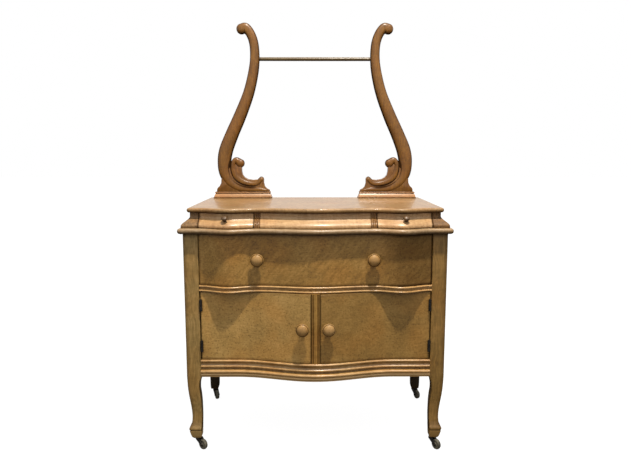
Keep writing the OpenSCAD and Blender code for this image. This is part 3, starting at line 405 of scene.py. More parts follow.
# Side panels and side rails. Flat maple boards are let in between the posts, with eased edges.
def softened(name, node, ease=0.8, added=None):
    """A copy of a CAD piece made of flat boards, welded, with its sharp edges eased, and a slab added."""
    form = bmesh.new()
    form.from_mesh(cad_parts[node].data)
    if added:
        corners = [form.verts.new([0.001 * c for c in point]) for point in added]
        for k in ((0, 3, 2, 1), (4, 5, 6, 7), (0, 1, 5, 4), (1, 2, 6, 5), (2, 3, 7, 6), (3, 0, 4, 7)):
            form.faces.new([corners[i] for i in k])
    bmesh.ops.remove_doubles(form, verts=form.verts, dist=1e-5)
    bmesh.ops.dissolve_limit(form, angle_limit=math.radians(1), verts=form.verts, edges=form.edges)
    sharp = [e for e in form.edges if e.is_manifold and e.calc_face_angle() > math.radians(40)]
    bmesh.ops.bevel(form, geom=sharp, offset=0.001 * ease, segments=2, profile=0.5, affect="EDGES",
                    clamp_overlap=True)
    form.verts.index_update()
    mesh = bpy.data.meshes.new(name)
    mesh.from_pydata([v.co[:] for v in form.verts], [], [[v.index for v in f.verts] for f in form.faces])
    form.free()
    mesh.shade_smooth()
    mesh.set_sharp_from_angle(angle=math.radians(30))
    return shown(name, mesh)


side_maple = maple("side_maple", "#8F6D3E #74582C #523C1B", "Y", eyes=0.2)
panel_maple = maple("side_panel_maple", "#93713E #7A5C2C #563E1B", "Z", eyes=0.6)
for word in ("left", "right"):
    dress(softened("side_board_" + word, "side_panel_" + word), "case", panel_maple, "maple",
          "side_panel_" + word)
dress(softened("side_bars", "side_rails", 1.2), "case", side_maple, "maple", "side_rails")


# Inside of the case. Back, dust panel, floor, runners, guides and glue blocks are plain poplar,
# sawn and planed but never lacquered, and grey with age.
def poplar(name, pale, dark, along):
    """Bare secondary wood: plain streaks along the grain, and no gloss."""
    material, tree = bare(name)
    place = put(tree, "TexCoord").outputs["Object"]
    grain = np.array([axis == along for axis in "XYZ"], float)
    # Growth rings are 9 mm apart and saw marks 2.5 mm, coarse enough to show
    rings_at, mark, length = 1 / 0.009, 1 / 0.0025, 1 / 0.25
    broad = put(tree, "VectorMath", [place, tuple(rings_at + grain * (length - rings_at))],
                operation="MULTIPLY")
    growth = put(tree, "TexNoise", {"Vector": broad, "Scale": 1.0, "Detail": 3.0, "Distortion": 0.4})
    fine = put(tree, "VectorMath", [place, tuple(mark + grain * (8 * length - mark))], operation="MULTIPLY")
    streak = put(tree, "TexNoise", {"Vector": fine, "Scale": 1.0, "Detail": 2.0})
    tone = put(tree, "Math", [streak, 0.35, growth], operation="MULTIPLY_ADD")
    colour = put(tree, "ValToRGB", {"Fac": tone}, ((0.5, linear(pale)), (0.85, linear(dark))))
    bump = put(tree, "Bump", {"Strength": 0.4, "Distance": 0.0003, "Height": streak})
    shader = put(tree, "BsdfPrincipled", {"Base Color": colour, "Roughness": 0.75, "IOR": 1.45,
                                          "Normal": bump})
    put(tree, "OutputMaterial", {"Surface": shader})
    return material


poplar_across = poplar("poplar_across", "#B4946A", "#7E6242", "X")
poplar_deep = poplar("poplar_deep", "#B89A70", "#866A48", "Y")
for name, node, material in (("back_board", "back_panel", poplar_across),
                             ("dust_board", "dust_panel", poplar_across),
                             ("cupboard_bottom", "cupboard_floor", poplar_across),
                             ("frieze_backing", "frieze_back", poplar_across),
                             ("runners", "drawer_runners", poplar_deep),
                             ("drawer_guides", "frieze_guides", poplar_deep),
                             ("glued_blocks", "glue_blocks", poplar_deep)):
    dress(softened(name, node), "case", material, "inner_wood", node)


# Top board and waist board. Both follow the serpentine front, with round edges run on them; the top
# is rubbed out to a higher polish, so that it mirrors the room at a low angle.
def wave(knots, x):
    """A wave through its knots, level at each, the same on both sides of the middle."""
    u = abs(x)
    if u >= knots[-1][0]:
        return knots[-1][1]
    i = max(k for k in range(len(knots) - 1) if u >= knots[k][0])
    (x0, y0), (x1, y1) = knots[i], knots[i + 1]
    return y0 + (y1 - y0) * (1 - math.cos(math.pi * (u - x0) / (x1 - x0))) / 2


swell, hollow, lobe = 31, 8, 29
upper_knots = [(0, swell), (182, hollow), (264, lobe), (half_open, 0)]


def upper(x):
    return wave(upper_knots, x)


def section_at(section, v):
    """How far a moulding's section reaches at a part of its height."""
    return float(glide(section, v)[1])


def board_ring(half, front, back, inset, corner_r=12, steps=150):
    """The outline of a board, drawn in by an inset at its front and sides."""
    r = max(corner_r - inset, 0.5)
    cx, cy = half - inset - r, front + inset + r
    left = [(-cx + r * math.cos(a), cy + r * math.sin(a))
            for a in np.linspace(math.pi, 1.5 * math.pi, 9)[:-1]]
    middle = [(x, front + inset - upper(x)) for x in np.linspace(-cx, cx, steps)]
    right = [(cx + r * math.cos(a), cy + r * math.sin(a)) for a in np.linspace(-0.5 * math.pi, 0, 9)[1:]]
    return left + middle + right + [(half - inset, back), (-half + inset, back)]


def edged_board(low, high, edge, nose, shade, shade_to):
    """Rings of a board whose edge has a given section: its nose gets a painted highlight and the part below
    it painted shade.
    """
    rings, rubbed_and_shaded = [], []
    levels = [(v, section_at(edge, v)) for v in np.linspace(0, 1, 17)]
    # Two rings of the flat lie under the edge and two above it
    under, above = [(0, 60), (0, levels[0][1] + 6)], [(1, levels[-1][1] + 6), (1, 60)]
    for v, inset in under + levels + above:
        ring = board_ring(high.x, low.y + swell, high.y, inset)
        rings.append(lift(ring, low.z + (high.z - low.z) * v))
        figure = nose * near(v, 0.85, 0.2) - shade * near(v, 0, shade_to)
        rubbed_and_shaded.append([figure if (v, inset) in levels else 0] * len(rings[-1]))
    return rings, rubbed_and_shaded


top_low, top_high = at("top_board")
# Parts of a board's thickness, then how far its edge draws in there
top_edge = [(0, 5.5), (0.12, 2), (0.3, 0.5), (0.5, 0), (0.72, 0.5), (0.88, 2.4), (0.97, 5), (1, 8)]
top_maple = maple("polished_top_maple", "#90744E #795C36 #584022", "X", eyes=0.6, gloss=0.42, coat=0.28,
                  haze=0.1)
shell = edged_board(top_low, top_high, top_edge, 0.2, 0.9, 0.45)
dress(make("washstand_top", [shell], 50), "case", top_maple, "maple_light", "top_board")
waist_low, waist_high = at("waist_board")
waist_edge = [(0, 8), (0.08, 3.6), (0.25, 1), (0.5, 0), (0.75, 1), (0.92, 3.6), (1, 8)]
waist_maple = maple("waist_maple", "#917C62 #7A6242 #564227", "X", eyes=0.2, gloss=0.38, coat=0.35)
shell = edged_board(waist_low, waist_high, waist_edge, 0.6, 1, 0.7)
dress(make("waist_moulding", [shell], 50), "case", waist_maple, "maple_light", "waist_board")


# Frieze. An ogee runs round the front and both sides in separate pieces: corner blocks, side lengths,
# a middle panel, two reeded dividers and, on their own bodies, the fronts of the two small drawers.
frieze_z, top_z = waist_high.z, top_low.z
foot_out, neck_in, joint_shade_and_grime = 4, 20, 2
frieze_maple = maple("frieze_maple", "#A98B64 #906F48 #694B2B", "X", eyes=0.3, gloss=0.42, coat=0.3)


def frieze_at(t):
    """The height of a part of the frieze, from its foot at 0 to its neck at 1."""
    return frieze_z + (top_z - frieze_z) * t


def ogee(t):
    """How far the frieze stands out from the posts' faces at a part of its height."""
    return foot_out - (foot_out + neck_in) * (1 - math.cos(math.pi * rising(t, 0.12, 0.62))) / 2


def inside(v, low, high):
    """How far a place lies inside the nearer one of two ends."""
    return min(v - low, high - v)


def eased(v, low, high, ease):
    """How far an edge is rounded back at a place between two ends."""
    return ease * near(inside(v, low, high), 0, ease) ** 2


def with_ends(x0, x1, count, ease):
    """Places from end to end, with two more close to each end for its eased edges."""
    return [x0, x0 + 0.3 * ease] + list(np.linspace(x0 + ease, x1 - ease, count)) + [x1 - 0.3 * ease, x1]


def frieze_length(x0, x1, z0, z1, back, ease=0.8):
    """Rings of a length of the frieze's front, with its four edges eased."""
    xs = list(np.linspace(x0, x1, max(8, int((x1 - x0) / 4))))
    xs = [x0, x0 + 0.3 * ease] + xs[1:-1] + [x1 - 0.3 * ease, x1]
    rings, rubbed_and_shaded = [], []
    for z in with_ends(z0, z1, 25, ease):
        t = (z - frieze_z) / (top_z - frieze_z)
        y = face_y - ogee(t) + eased(z, z0, z1, ease)
        line = [(x, y - upper(x) + eased(x, x0, x1, ease)) for x in xs]
        rings.append(lift(line + [(x1, back), (x0, back)], z))
        # Painted shade lies along the foot, on the neck and, as a contact shadow, under the top; painted
        # shade and grime lie in the joints at the ends and edges
        level = 0.2 - 0.5 * near(t, 0, 0.18) - 0.1 * rising(t, 0.6, 0.15) - 9 * max(0, t - 0.94)
        edge = near(inside(z, z0, z1), 0, joint_shade_and_grime)
        ends = [near(inside(x, x0, x1), 0, joint_shade_and_grime) for x in xs] + [0, 0]
        rubbed_and_shaded.append([level - 1.1 * max(edge, e) for e in ends])
    return rings, rubbed_and_shaded


middle_low, middle_high = at("frieze_middle_panel")
frieze_back_y = middle_high.y
dress(make("frieze_panel", [frieze_length(middle_low.x, middle_high.x, frieze_z, top_z, frieze_back_y)]),
      "case", frieze_maple, "maple_light", "frieze_middle_panel")
corner_low, corner_high = at("frieze_corner_right")
# The right block has darker tones than the left one: painted shade.
block_maples = {"left": maple("left_block_maple", "#866640 #6C512F #37220D", "Z", eyes=0.9, gloss=0.45,
                              coat=0.15),
                "right": maple("right_block_maple", "#775529 #5E421E #301C07", "Z", eyes=0.9, gloss=0.6,
                               coat=0.04)}
# Painted shade and grime in the corner beside the small drawer
joint_points, joint_shade_w = range(14, 21), 4
side_low, side_high = at("frieze_side_right")
for side, word in sides:
    rings, rubbed_and_shaded = [], []
    for t in np.linspace(0, 1, 25):
        out = ogee(t)
        ring = round_rect(corner_low.x, face_y - out, half_w + out, corner_high.y, (0.6, 0.6, 1.0, 3))
        ring.insert(outer_corner, (corner_low.x + joint_shade_w, face_y - out))
        rings.append(lift(ring, frieze_at(t)))
        # Painted shade along the foot and, as a contact shadow, under the top
        edge = -0.7 * near(t, 0, 0.15) - 6 * max(0, t - 0.92)
        rubbed_and_shaded.append([edge - (0.8 if k in joint_points else 0) for k in range(ring_points)])
    dress(make("frieze_block_" + word, [(mirrored(rings, side), rubbed_and_shaded)]), "case",
          block_maples[word], "maple_light", "frieze_corner_" + word)
    # Painted shade on the upper part, under the top, and painted shade and grime at the front joint
    section = [(half_w + ogee(t), frieze_at(t), 0.2 - 0.5 * max(0, t - 0.6)) for t in np.linspace(0, 1, 25)]
    section += [(side_low.x, top_z, 0), (side_low.x, frieze_z, 0)]
    rings = [[(x, y, z) for x, z, _ in section] for y in (side_low.y, side_low.y + 2, side_high.y)]
    rubbed_and_shaded = [[w - dirt_and_shade for _, _, w in section] for dirt_and_shade in (0.8, 0, 0)]
    dress(make("frieze_length_" + word, [(mirrored(rings, side), rubbed_and_shaded)]), "case", frieze_maple,
          "maple_light", "frieze_side_" + word)


# Dividers between the panel and the small drawers. Three reeds follow the ogee on each.
divider_low, divider_high = at("frieze_divider_right")
divider_maple = maple("divider_maple", "#886638 #674825 #402A11", "Z", eyes=0.0, gloss=0.4, coat=0.3)


def grown(name, base, tree, sizes):
    """Runs a tree on a base mesh, bakes the result into a plain mesh, and drops the modifier."""
    piece = shown(name, base)
    modifier = piece.modifiers.new(name, "NODES")
    modifier.node_group = tree
    for item in tree.interface.items_tree:
        if item.item_type == "SOCKET" and item.in_out == "INPUT" and item.name in sizes:
            modifier[item.identifier] = sizes[item.name]
    result = piece.evaluated_get(bpy.context.evaluated_depsgraph_get())
    mesh = bpy.data.meshes.new_from_object(result)
    mesh.name = name
    piece.modifiers.clear()
    piece.data = mesh
    mesh.shade_smooth()
    mesh.set_sharp_from_angle(angle=math.radians(35))
    return piece


def tree_with(name, sizes):
    """A geometry tree with a named input for each size."""
    tree = bpy.data.node_groups.new(name, "GeometryNodeTree")
    tree.interface.new_socket("Geometry", in_out="INPUT", socket_type="NodeSocketGeometry")
    for label, value in sizes.items():
        kind = {int: "NodeSocketInt", float: "NodeSocketFloat"}.get(type(value), "NodeSocketMaterial")
        socket = tree.interface.new_socket(label, in_out="INPUT", socket_type=kind)
        if kind != "NodeSocketMaterial":
            socket.default_value = value
    tree.interface.new_socket("Geometry", in_out="OUTPUT", socket_type="NodeSocketGeometry")
    return tree, put(tree, "NodeGroupInput").outputs


reed_r, reed_apart, reed_in = 2.8, 5.6, 1.6
reed_sizes = {"Reed radius": 0.001 * reed_r, "Reeds": 3, "Spacing": 0.001 * reed_apart, "Wood": divider_maple}
tree, given = tree_with("reeds", reed_sizes)
spine = put(tree, "GeometryNodeMeshToCurve", {"Mesh": given["Geometry"]})
section = put(tree, "GeometryNodeCurvePrimitiveCircle", {"Resolution": 16, "Radius": given["Reed radius"]})
reed = put(tree, "GeometryNodeCurveToMesh", {"Curve": spine, "Profile Curve": section, "Fill Caps": True})
step = put(tree, "CombineXYZ", {"X": given["Spacing"]})
row = put(tree, "GeometryNodeMeshLine", {"Count": given["Reeds"], "Offset": step})
reeds = put(tree, "GeometryNodeInstanceOnPoints", {"Points": row, "Instance": reed})
real = put(tree, "GeometryNodeRealizeInstances", {"Geometry": reeds})
coloured = put(tree, "GeometryNodeSetMaterial", {"Geometry": real, "Material": given["Wood"]})
put(tree, "NodeGroupOutput", {"Geometry": coloured})
for side, word in sides:
    x0, x1 = divider_low.x, divider_high.x
    rings, rubbed_and_shaded = [], []
    for t in np.linspace(0, 1, 25):
        line = [(x, face_y - upper(x) - ogee(t) + reed_in) for x in np.linspace(x0, x1, 6)]
        rings.append(lift(line + [(x1, frieze_back_y), (x0, frieze_back_y)], frieze_at(t)))
        # Painted shade darkens the divider between its reeds
        rubbed_and_shaded.append([-1.0] * 8)
    body = make("divider_" + word, [(mirrored(rings, side), rubbed_and_shaded)])
    body.data.materials.append(divider_maple)
    # The first reed's path; the tree sets the other two beside it
    spine_x = (x0 + x1) / 2
    path = [(0.001 * (side * spine_x - reed_apart), 0.001 * (face_y - upper(spine_x) - ogee(t) + reed_r),
             0.001 * frieze_at(t)) for t in np.linspace(0, 1, 33)]
    line = bpy.data.meshes.new("reed_path_" + word)
    line.from_pydata(path, [(i, i + 1) for i in range(len(path) - 1)], [])
    ridges = grown("reeds_" + word, line, tree, reed_sizes)
    dress(ridges, "case", None, "maple_light")
    dress(body, "case", None, "maple_light", "frieze_divider_" + word)


# Middle rail and bottom rail. Beads of several widths are run along their faces; the middle rail
# keeps the drawer's serpentine and the bottom rail the single bow of the doors.
drawer_in, door_in, low_bead = 4, 2, 0.21
lower_knots = [(0, 43), (245, 0)]


def lower(x):
    return wave(lower_knots, x)


def beaded_rail(bow, set_in, edge, z0, z1, back, count, low_bead_highlight=0):
    """Rings of a rail with beads along its face; grooves get painted shade, crests are worn paler, and the
    lowest bead may get a painted highlight.
    """
    rings, rubbed_and_shaded = [], []
    line = [(x, face_y + set_in - bow(x)) for x in np.linspace(-half_open, half_open, 180)]
    levels = np.linspace(0, 1, count)
    outs = [section_at(edge, v) for v in levels]
    mean, span = np.mean(outs), max(outs) - min(outs)
    for v, out in zip(levels, outs):
        ring = [(x, y - out) for x, y in line]
        rings.append(lift(ring + [(line[-1][0], back), (line[0][0], back)], z0 + (z1 - z0) * v))
        figure = 1.5 * (out - mean) / span
        rubbed_and_shaded.append([0.6 * max(-1, figure) + low_bead_highlight * (v < low_bead)] * len(line) + [0, 0])
    return rings, rubbed_and_shaded


mid_low, mid_high = at("mid_rail")
# Parts of a rail's height, then how far its face stands out there
mid_edge = [(0, 1), (0.06, 3.6), (0.16, 4.8), (0.26, 4.2), (0.32, 2), (0.38, 0.8), (0.6, 1.6), (0.66, 0.6),
            (0.72, 2.6), (0.82, 4.4), (0.93, 3.6), (1, 1.6)]
rail_maple = maple("rail_maple", "#AB8959 #916E3E #674A26", "X", eyes=0.1, gloss=0.36, coat=0.4)
shell = beaded_rail(upper, drawer_in, mid_edge, mid_low.z, mid_high.z, mid_high.y, 61)
dress(make("middle_rail", [shell], 60), "case", rail_maple, "maple_light", "mid_rail")
bottom_edge = [(0, 3), (0.05, 3.4), (0.09, 5), (0.145, 7.2), (0.19, 6), (0.215, 4), (0.235, 5.4),
               (0.27, 8.2), (0.33, 9.4), (0.385, 8), (0.42, 4), (0.44, -2), (0.53, -2), (0.55, 2.4),
               (0.6, 4.6), (0.65, 4.2), (0.7, 1.4), (0.76, 0), (0.82, 0.6), (0.87, 2.4), (0.9, 4.6),
               (0.95, 5.6), (1, 3.4)]
# The bottom rail's lowest bead gets a painted highlight
shell = beaded_rail(lower, door_in, bottom_edge, rail_z, doors_z, at("bottom_rail")[1].y, 131, 1.2)
dress(make("apron_rail", [shell], 60), "case", rail_maple, "maple_light", "bottom_rail")


# Centre stile. A wide bead between two narrow ones on its face, glued to a flange behind that the
# doors close against.
stile_low, stile_high = at("centre_stile")
stile_half, flange_half, stile_groove, flange_t = 13, 23, 2.2, 12
wide_bead, side_bead = 0.55, 0.25
flange_y = stile_high.y - flange_t
stile_maple = maple("stile_maple", "#9C783C #82602C #583E18", "Z", eyes=0.1, gloss=0.38, coat=0.35)
plan, rubbed_and_shaded = [], []
for u in np.linspace(-1, 1, 81):
    v = abs(u)
    if v < wide_bead:
        depth = 1 - math.cos(math.pi / 2 * v / wide_bead)
    else:
        depth = side_bead + (1 - side_bead) * abs(math.cos(math.pi * (v - wide_bead) / (1 - wide_bead)))
    plan.append((stile_half * u, stile_low.y + stile_groove * depth))
    # Painted shade in the grooves; the bead crests a little paler
    rubbed_and_shaded.append(0.2 - 1.3 * depth ** 2)
plan += [(stile_half, flange_y), (flange_half, flange_y), (flange_half, stile_high.y),
         (-flange_half, stile_high.y), (-flange_half, flange_y), (-stile_half, flange_y)]
rubbed_and_shaded += [0] * 6
rings = [lift(plan, z) for z in (stile_low.z, stile_low.z + 4, stile_high.z - 4, stile_high.z)]
dress(make("stile", [(rings, [rubbed_and_shaded] * len(rings))], 50), "case", stile_maple, "maple", "centre_stile")


# Big drawer. Its front is sawn from thick bird's-eye maple to the serpentine on both faces, and the
# box behind it is poplar.
rim_shade = 3


def slab(front, back, z0, z1, ease):
    """Rings of an upright slab between a front and a back line, with its edges eased."""
    rings, rubbed_and_shaded = [], []
    half = (front[-1][0] - front[0][0]) / 2
    centre = (front[-1][0] + front[0][0]) / 2
    steps = [(ease, 0), (0.45 * ease, 0.15 * ease), (0.12 * ease, 0.5 * ease), (0, ease), (0, 9)]
    levels = [(inset, z0 + rise) for inset, rise in steps]
    levels += [(inset, z1 - rise) for inset, rise in reversed(steps)]
    for inset, z in levels:
        shrink = 1 - inset / half
        ring = [(centre + (x - centre) * shrink, y + inset) for x, y in front]
        ring += [(centre + (x - centre) * shrink, y - inset) for x, y in reversed(back)]
        rings.append(lift(ring, z))
        # Painted shade round the rims, for the shade in the gaps about the front
        edge = near(inside(z, z0, z1), 0, rim_shade)
        ends = [near(half - abs(x - centre), 0, rim_shade) for x, _ in front]
        rubbed_and_shaded.append([-0.8 * max(edge, e) for e in ends] + [0] * len(back))
    return rings, rubbed_and_shaded


def ends_eased(line, ease):
    """A front line whose two ends turn back in a small round."""
    x0, x1 = line[0][0], line[-1][0]
    return [(x, y + eased(x, x0, x1, ease)) for x, y in line]


drawer_low, drawer_high = at("drawer_front")
drawer_ease, drawer_t = 1.2, 20
inner_knots = [(0, swell), (182, hollow), (258, lobe - 4), (330, 0)]
xs = with_ends(drawer_low.x, drawer_high.x, 160, drawer_ease)
front = ends_eased([(x, face_y + drawer_in - upper(x)) for x in xs], drawer_ease)
back = [(x, face_y + drawer_in + drawer_t - wave(inner_knots, x)) for x in xs]
drawer_maple = maple("drawer_maple", "#9D7942 #83632F #5B411F", "X", eyes=0.7, ripples=0.45, gloss=0.45,
                     coat=0.2, slant=-40)
rings, rubbed_and_shaded = slab(front, back, drawer_low.z, drawer_high.z, drawer_ease)
# Painted shade deepens towards the right end of the front
darker, darker_from, darker_over = 0.62, 205, 50
rubbed_and_shaded = [[w - darker * rising(x, darker_from, darker_over) for w, (x, _, _) in zip(row, ring)]
          for row, ring in zip(rubbed_and_shaded, rings)]
dress(make("drawer_face", [(rings, rubbed_and_shaded)], 50), "big_drawer", drawer_maple, "maple", "drawer_front")
for name, node, material in (("drawer_cheeks", "drawer_sides", poplar_deep),
                             ("drawer_rear", "drawer_back", poplar_across),
                             ("drawer_base", "drawer_bottom", poplar_across)):
    dress(softened(name, node, 0.6), "big_drawer", material, "inner_wood", node)


# Large knobs. They are turned maple with a domed crown inside a raised rim, glued in by a spigot,
# and a little pinker than the case. Hands have kept them dull and worn the crown paler; painted shade lies in
# the groove round the rim and under the head.
def turned(profile, seat, count=64):
    """Rings of a turned piece on a seat: its place, its turn about Z and its upward tilt in degrees."""
    x, y, z, turn, tilt = seat
    pose = (Matrix.Translation((x, y, z)) @ Matrix.Rotation(math.radians(turn), 4, "Z")
            @ Matrix.Rotation(math.radians(90 - tilt), 4, "X"))
    rings = []
    for r, h, _ in profile:
        rings.append([tuple(pose @ Vector((r * math.cos(a), r * math.sin(a), h))) for a in full_turn(count)])
    return rings, [[w] * count for _, _, w in profile]


def knob_profile(knots, r, length, off, spigot, count, dirt_and_shade):
    """A knob's profile on its spigot: knots are parts of its radius and of its length, off the front."""
    steps = [(k, a, b) for k, (a, b) in enumerate(knots)]
    spigot_r, spigot_len = spigot
    points = [(0.02, -spigot_len, 0), (spigot_r, -spigot_len, 0), (spigot_r, off, 0)]
    for t in np.linspace(0, len(knots) - 1, count):
        _, a, b = glide(steps, t)
        points.append((max(0.02, a) * r, b * length + off, dirt_and_shade(b)))
    return points


knob_r, knob_len, knob_off, knob_spigot = 20.5, 27.3, 0.6, (7, 16)
knob_knots = [(0.56, 0), (0.6, 0.04), (0.58, 0.09), (0.46, 0.15), (0.42, 0.22), (0.46, 0.3), (0.64, 0.38),
              (0.87, 0.44), (0.97, 0.49), (1, 0.56), (0.97, 0.64), (0.9, 0.69), (0.86, 0.68), (0.83, 0.72),
              (0.72, 0.82), (0.54, 0.91), (0.3, 0.975), (0.02, 1)]


def knob_shade_and_wear(b):
    return -0.9 if 0.665 < b < 0.7 else -0.6 if b < 0.5 else 0.5 if b > 0.9 else 0.1


knob_maple = maple("knob_maple", "#9C7A4D #846637 #5E4420", "Z", eyes=0.3, gloss=0.55, coat=0.08)
large_knob = knob_profile(knob_knots, knob_r, knob_len, knob_off, knob_spigot, 90, knob_shade_and_wear)


def pull_seat(line, x, set_in, z, span=8):
    """Where a knob sits on a curved front, turned so that it faces straight out of it."""
    turn = -math.degrees(math.atan2(line(x + span) - line(x - span), 2 * span))
    return x, face_y + set_in - line(x), z, turn, 0


drawer_knob_x, door_knob_x = 177, 38
drawer_knob_z = mid_high.z + 0.505 * (waist_z - mid_high.z)
door_knob_z = doors_z + 0.51 * (mid_low.z - doors_z)
rings, rubbed_and_shaded = turned(large_knob, pull_seat(upper, drawer_knob_x, drawer_in, drawer_knob_z))
dress(make("pulls", [(mirrored(rings, side), rubbed_and_shaded) for side, _ in sides], 40), "big_drawer", knob_maple,
      "maple_knobs", "drawer_knobs")


# Small drawers. Their fronts are lengths of the frieze with a small dark turned knob that stands square
# to the ogee, and their boxes are poplar.
small_ease, small_knob_x, small_knob_at, small_tilt = 0.9, 272, 0.5, 50
small_r, small_len, small_off, small_spigot = 9.5, 17, 0.3, (3, 12)
small_knots = [(0.54, 0), (0.58, 0.05), (0.52, 0.11), (0.42, 0.18), (0.4, 0.25), (0.56, 0.33), (0.8, 0.42),
               (0.95, 0.53), (1, 0.64), (0.95, 0.77), (0.8, 0.88), (0.56, 0.96), (0.25, 0.995), (0.02, 1)]
small_maple = maple("small_knob_maple", "#5E4626 #3F2B13 #221508", "Z", eyes=0.0, gloss=0.5, coat=0.15)
# The small knob's neck and back get painted shade
small_knob = knob_profile(small_knots, small_r, small_len, small_off, small_spigot, 50,
                          lambda b: -0.5 if b < 0.4 else 0.2)
small_low, small_high = at("small_drawer_front_right")
rings, rubbed_and_shaded = frieze_length(small_low.x, small_high.x, small_low.z, small_high.z, small_high.y, small_ease)
seat = (small_knob_x, face_y - upper(small_knob_x) - ogee(small_knob_at), frieze_at(small_knob_at), 0,
        small_tilt)
knob_rings, knob_rubbed = turned(small_knob, seat, 40)
for side, word in sides:
    body = "small_drawer_" + word
    dress(make("small_face_" + word, [(mirrored(rings, side), rubbed_and_shaded)]), body, frieze_maple, "maple_light",
          "small_drawer_front_" + word)
    dress(make("small_pull_" + word, [(mirrored(knob_rings, side), knob_rubbed)], 40), body, small_maple,
          "maple_knobs", "small_knob_" + word)
    dress(softened("small_box_" + word, "small_drawer_box_" + word, 0.5), body, poplar_deep, "inner_wood",
          "small_drawer_box_" + word)


# Doors. Each is a bowed board of bird's-eye maple with eased edges and one large knob by the stile.
door_low, door_high = at("door_right")
door_ease, door_t = 1.4, 19
# The left door has lighter tones than the right one: painted light.
door_tones = {"left": "#B28D55 #957640 #694E28", "right": "#957540 #7E602F #58401D"}
xs = with_ends(door_low.x, door_high.x, 110, door_ease)
face = [(x, face_y + door_in - lower(x)) for x in xs]
front, back = ends_eased(face, door_ease), [(x, y + door_t) for x, y in face]
rings, rubbed_and_shaded = slab(front, back, door_low.z, door_high.z, door_ease)
knob_rings, knob_rubbed = turned(large_knob, pull_seat(lower, door_knob_x, door_in, door_knob_z))
for side, word in sides:
    door_maple = maple(word + "_door_maple", door_tones[word], "X", eyes=0.85, ripples=0.1, gloss=0.45,
                       coat=0.2)
    dress(make("cupboard_door_" + word, [(mirrored(rings, side), rubbed_and_shaded)], 50), "door_" + word, door_maple,
          "maple", "door_" + word)
    dress(make("door_pull_" + word, [(mirrored(knob_rings, side), knob_rubbed)], 40), "door_" + word,
          knob_maple, "maple_knobs", "door_knob_" + word)


# Hinges. Black iron butts: leaves let in between door and post, a barrel in front with its pin, and
# slotted screws.
def iron(name, base, worn, rust, gloss=0.42):
    """Japanned iron: black, a little shiny, with brown specks where it has rusted."""
    material, tree = bare(name)
    place = put(tree, "TexCoord").outputs["Object"]
    # Blotches of 6 mm and specks of 1.2 mm
    blotch = put(tree, "TexNoise", {"Vector": place, "Scale": 1 / 0.006, "Detail": 3.0})
    speck = put(tree, "TexNoise", {"Vector": place, "Scale": 1 / 0.0012, "Detail": 2.0})
    colour = put(tree, "ValToRGB", {"Fac": blotch}, ((0.38, linear(base)), (0.72, linear(worn))))
    rusty = put(tree, "Math", [speck, 0.62], operation="GREATER_THAN")
    amount = put(tree, "Math", [rusty, 0.5], operation="MULTIPLY")
    mixed = put(tree, "Mix", {0: amount, 6: colour, 7: linear(rust)}, data_type="RGBA")
    dull = put(tree, "Math", [blotch, 0.3, gloss - 0.15], operation="MULTIPLY_ADD")
    bump = put(tree, "Bump", {"Strength": 0.3, "Distance": 0.0002, "Height": speck})
    shader = put(tree, "BsdfPrincipled", {"Base Color": mixed.outputs[2], "Roughness": dull, "Metallic": 0.35,
                                          "Normal": bump})
    put(tree, "OutputMaterial", {"Surface": shader})
    return material


black_iron = iron("japanned_iron", "#0E0D0C", "#292521", "#3E2A1A")
steel = iron("dull_steel", "#6E6A64", "#8E8A82", "#5A4632", 0.5)
for metal, nodes in ((black_iron, ("hinge_leaves", "hinge_pins", "door_hinges_left", "door_hinges_right")),
                     (steel, ("rack_screws", "caster_sockets"))):
    for node in nodes:
        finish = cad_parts[node].data.materials
        finish.clear()
        finish.append(metal)

screw_sizes = {"Head radius": 0.003, "Head height": 0.0014, "Shank radius": 0.0015, "Shank length": 0.012,
               "Slot width": 0.0008, "Slot depth": 0.0007, "Iron": black_iron}
tree, given = tree_with("slotted_screws", screw_sizes)
head = put(tree, "GeometryNodeMeshCylinder",
           {"Vertices": 32, "Radius": given["Head radius"], "Depth": given["Head height"]})
width = put(tree, "Math", [given["Head radius"], 3.0], operation="MULTIPLY")
slot_depth = put(tree, "Math", [given["Slot depth"], 2.0], operation="MULTIPLY")
slot_size = put(tree, "CombineXYZ", {"X": width, "Y": given["Slot width"], "Z": slot_depth})
slot_box = put(tree, "GeometryNodeMeshCube", {"Size": slot_size})
half_head = put(tree, "Math", [given["Head height"], 0.5], operation="MULTIPLY")
slot_up = put(tree, "CombineXYZ", {"Z": half_head})
slot_there = put(tree, "GeometryNodeTransform", {"Geometry": slot_box, "Translation": slot_up})
cut = put(tree, "GeometryNodeMeshBoolean", {"Mesh 1": head, "Mesh 2": slot_there}, operation="DIFFERENCE")
shank = put(tree, "GeometryNodeMeshCylinder",
            {"Vertices": 16, "Radius": given["Shank radius"], "Depth": given["Shank length"]})
reach = put(tree, "Math", [given["Shank length"], given["Head height"]], operation="ADD")
half_reach = put(tree, "Math", [reach, -0.5], operation="MULTIPLY")
shank_down = put(tree, "CombineXYZ", {"Z": half_reach})
shank_there = put(tree, "GeometryNodeTransform", {"Geometry": shank, "Translation": shank_down})
screw = put(tree, "GeometryNodeJoinGeometry")
for part in (cut, shank_there):
    tree.links.new(part.outputs[0], screw.inputs[0])
facing_way = put(tree, "GeometryNodeInputNormal")
turn_to = put(tree, "FunctionNodeAlignRotationToVector", {"Vector": facing_way}, axis="Z")
screws = put(tree, "GeometryNodeInstanceOnPoints",
             {"Points": given["Geometry"], "Instance": screw, "Rotation": turn_to})
real = put(tree, "GeometryNodeRealizeInstances", {"Geometry": screws})
coloured = put(tree, "GeometryNodeSetMaterial", {"Geometry": real, "Material": given["Iron"]})
put(tree, "NodeGroupOutput", {"Geometry": coloured})

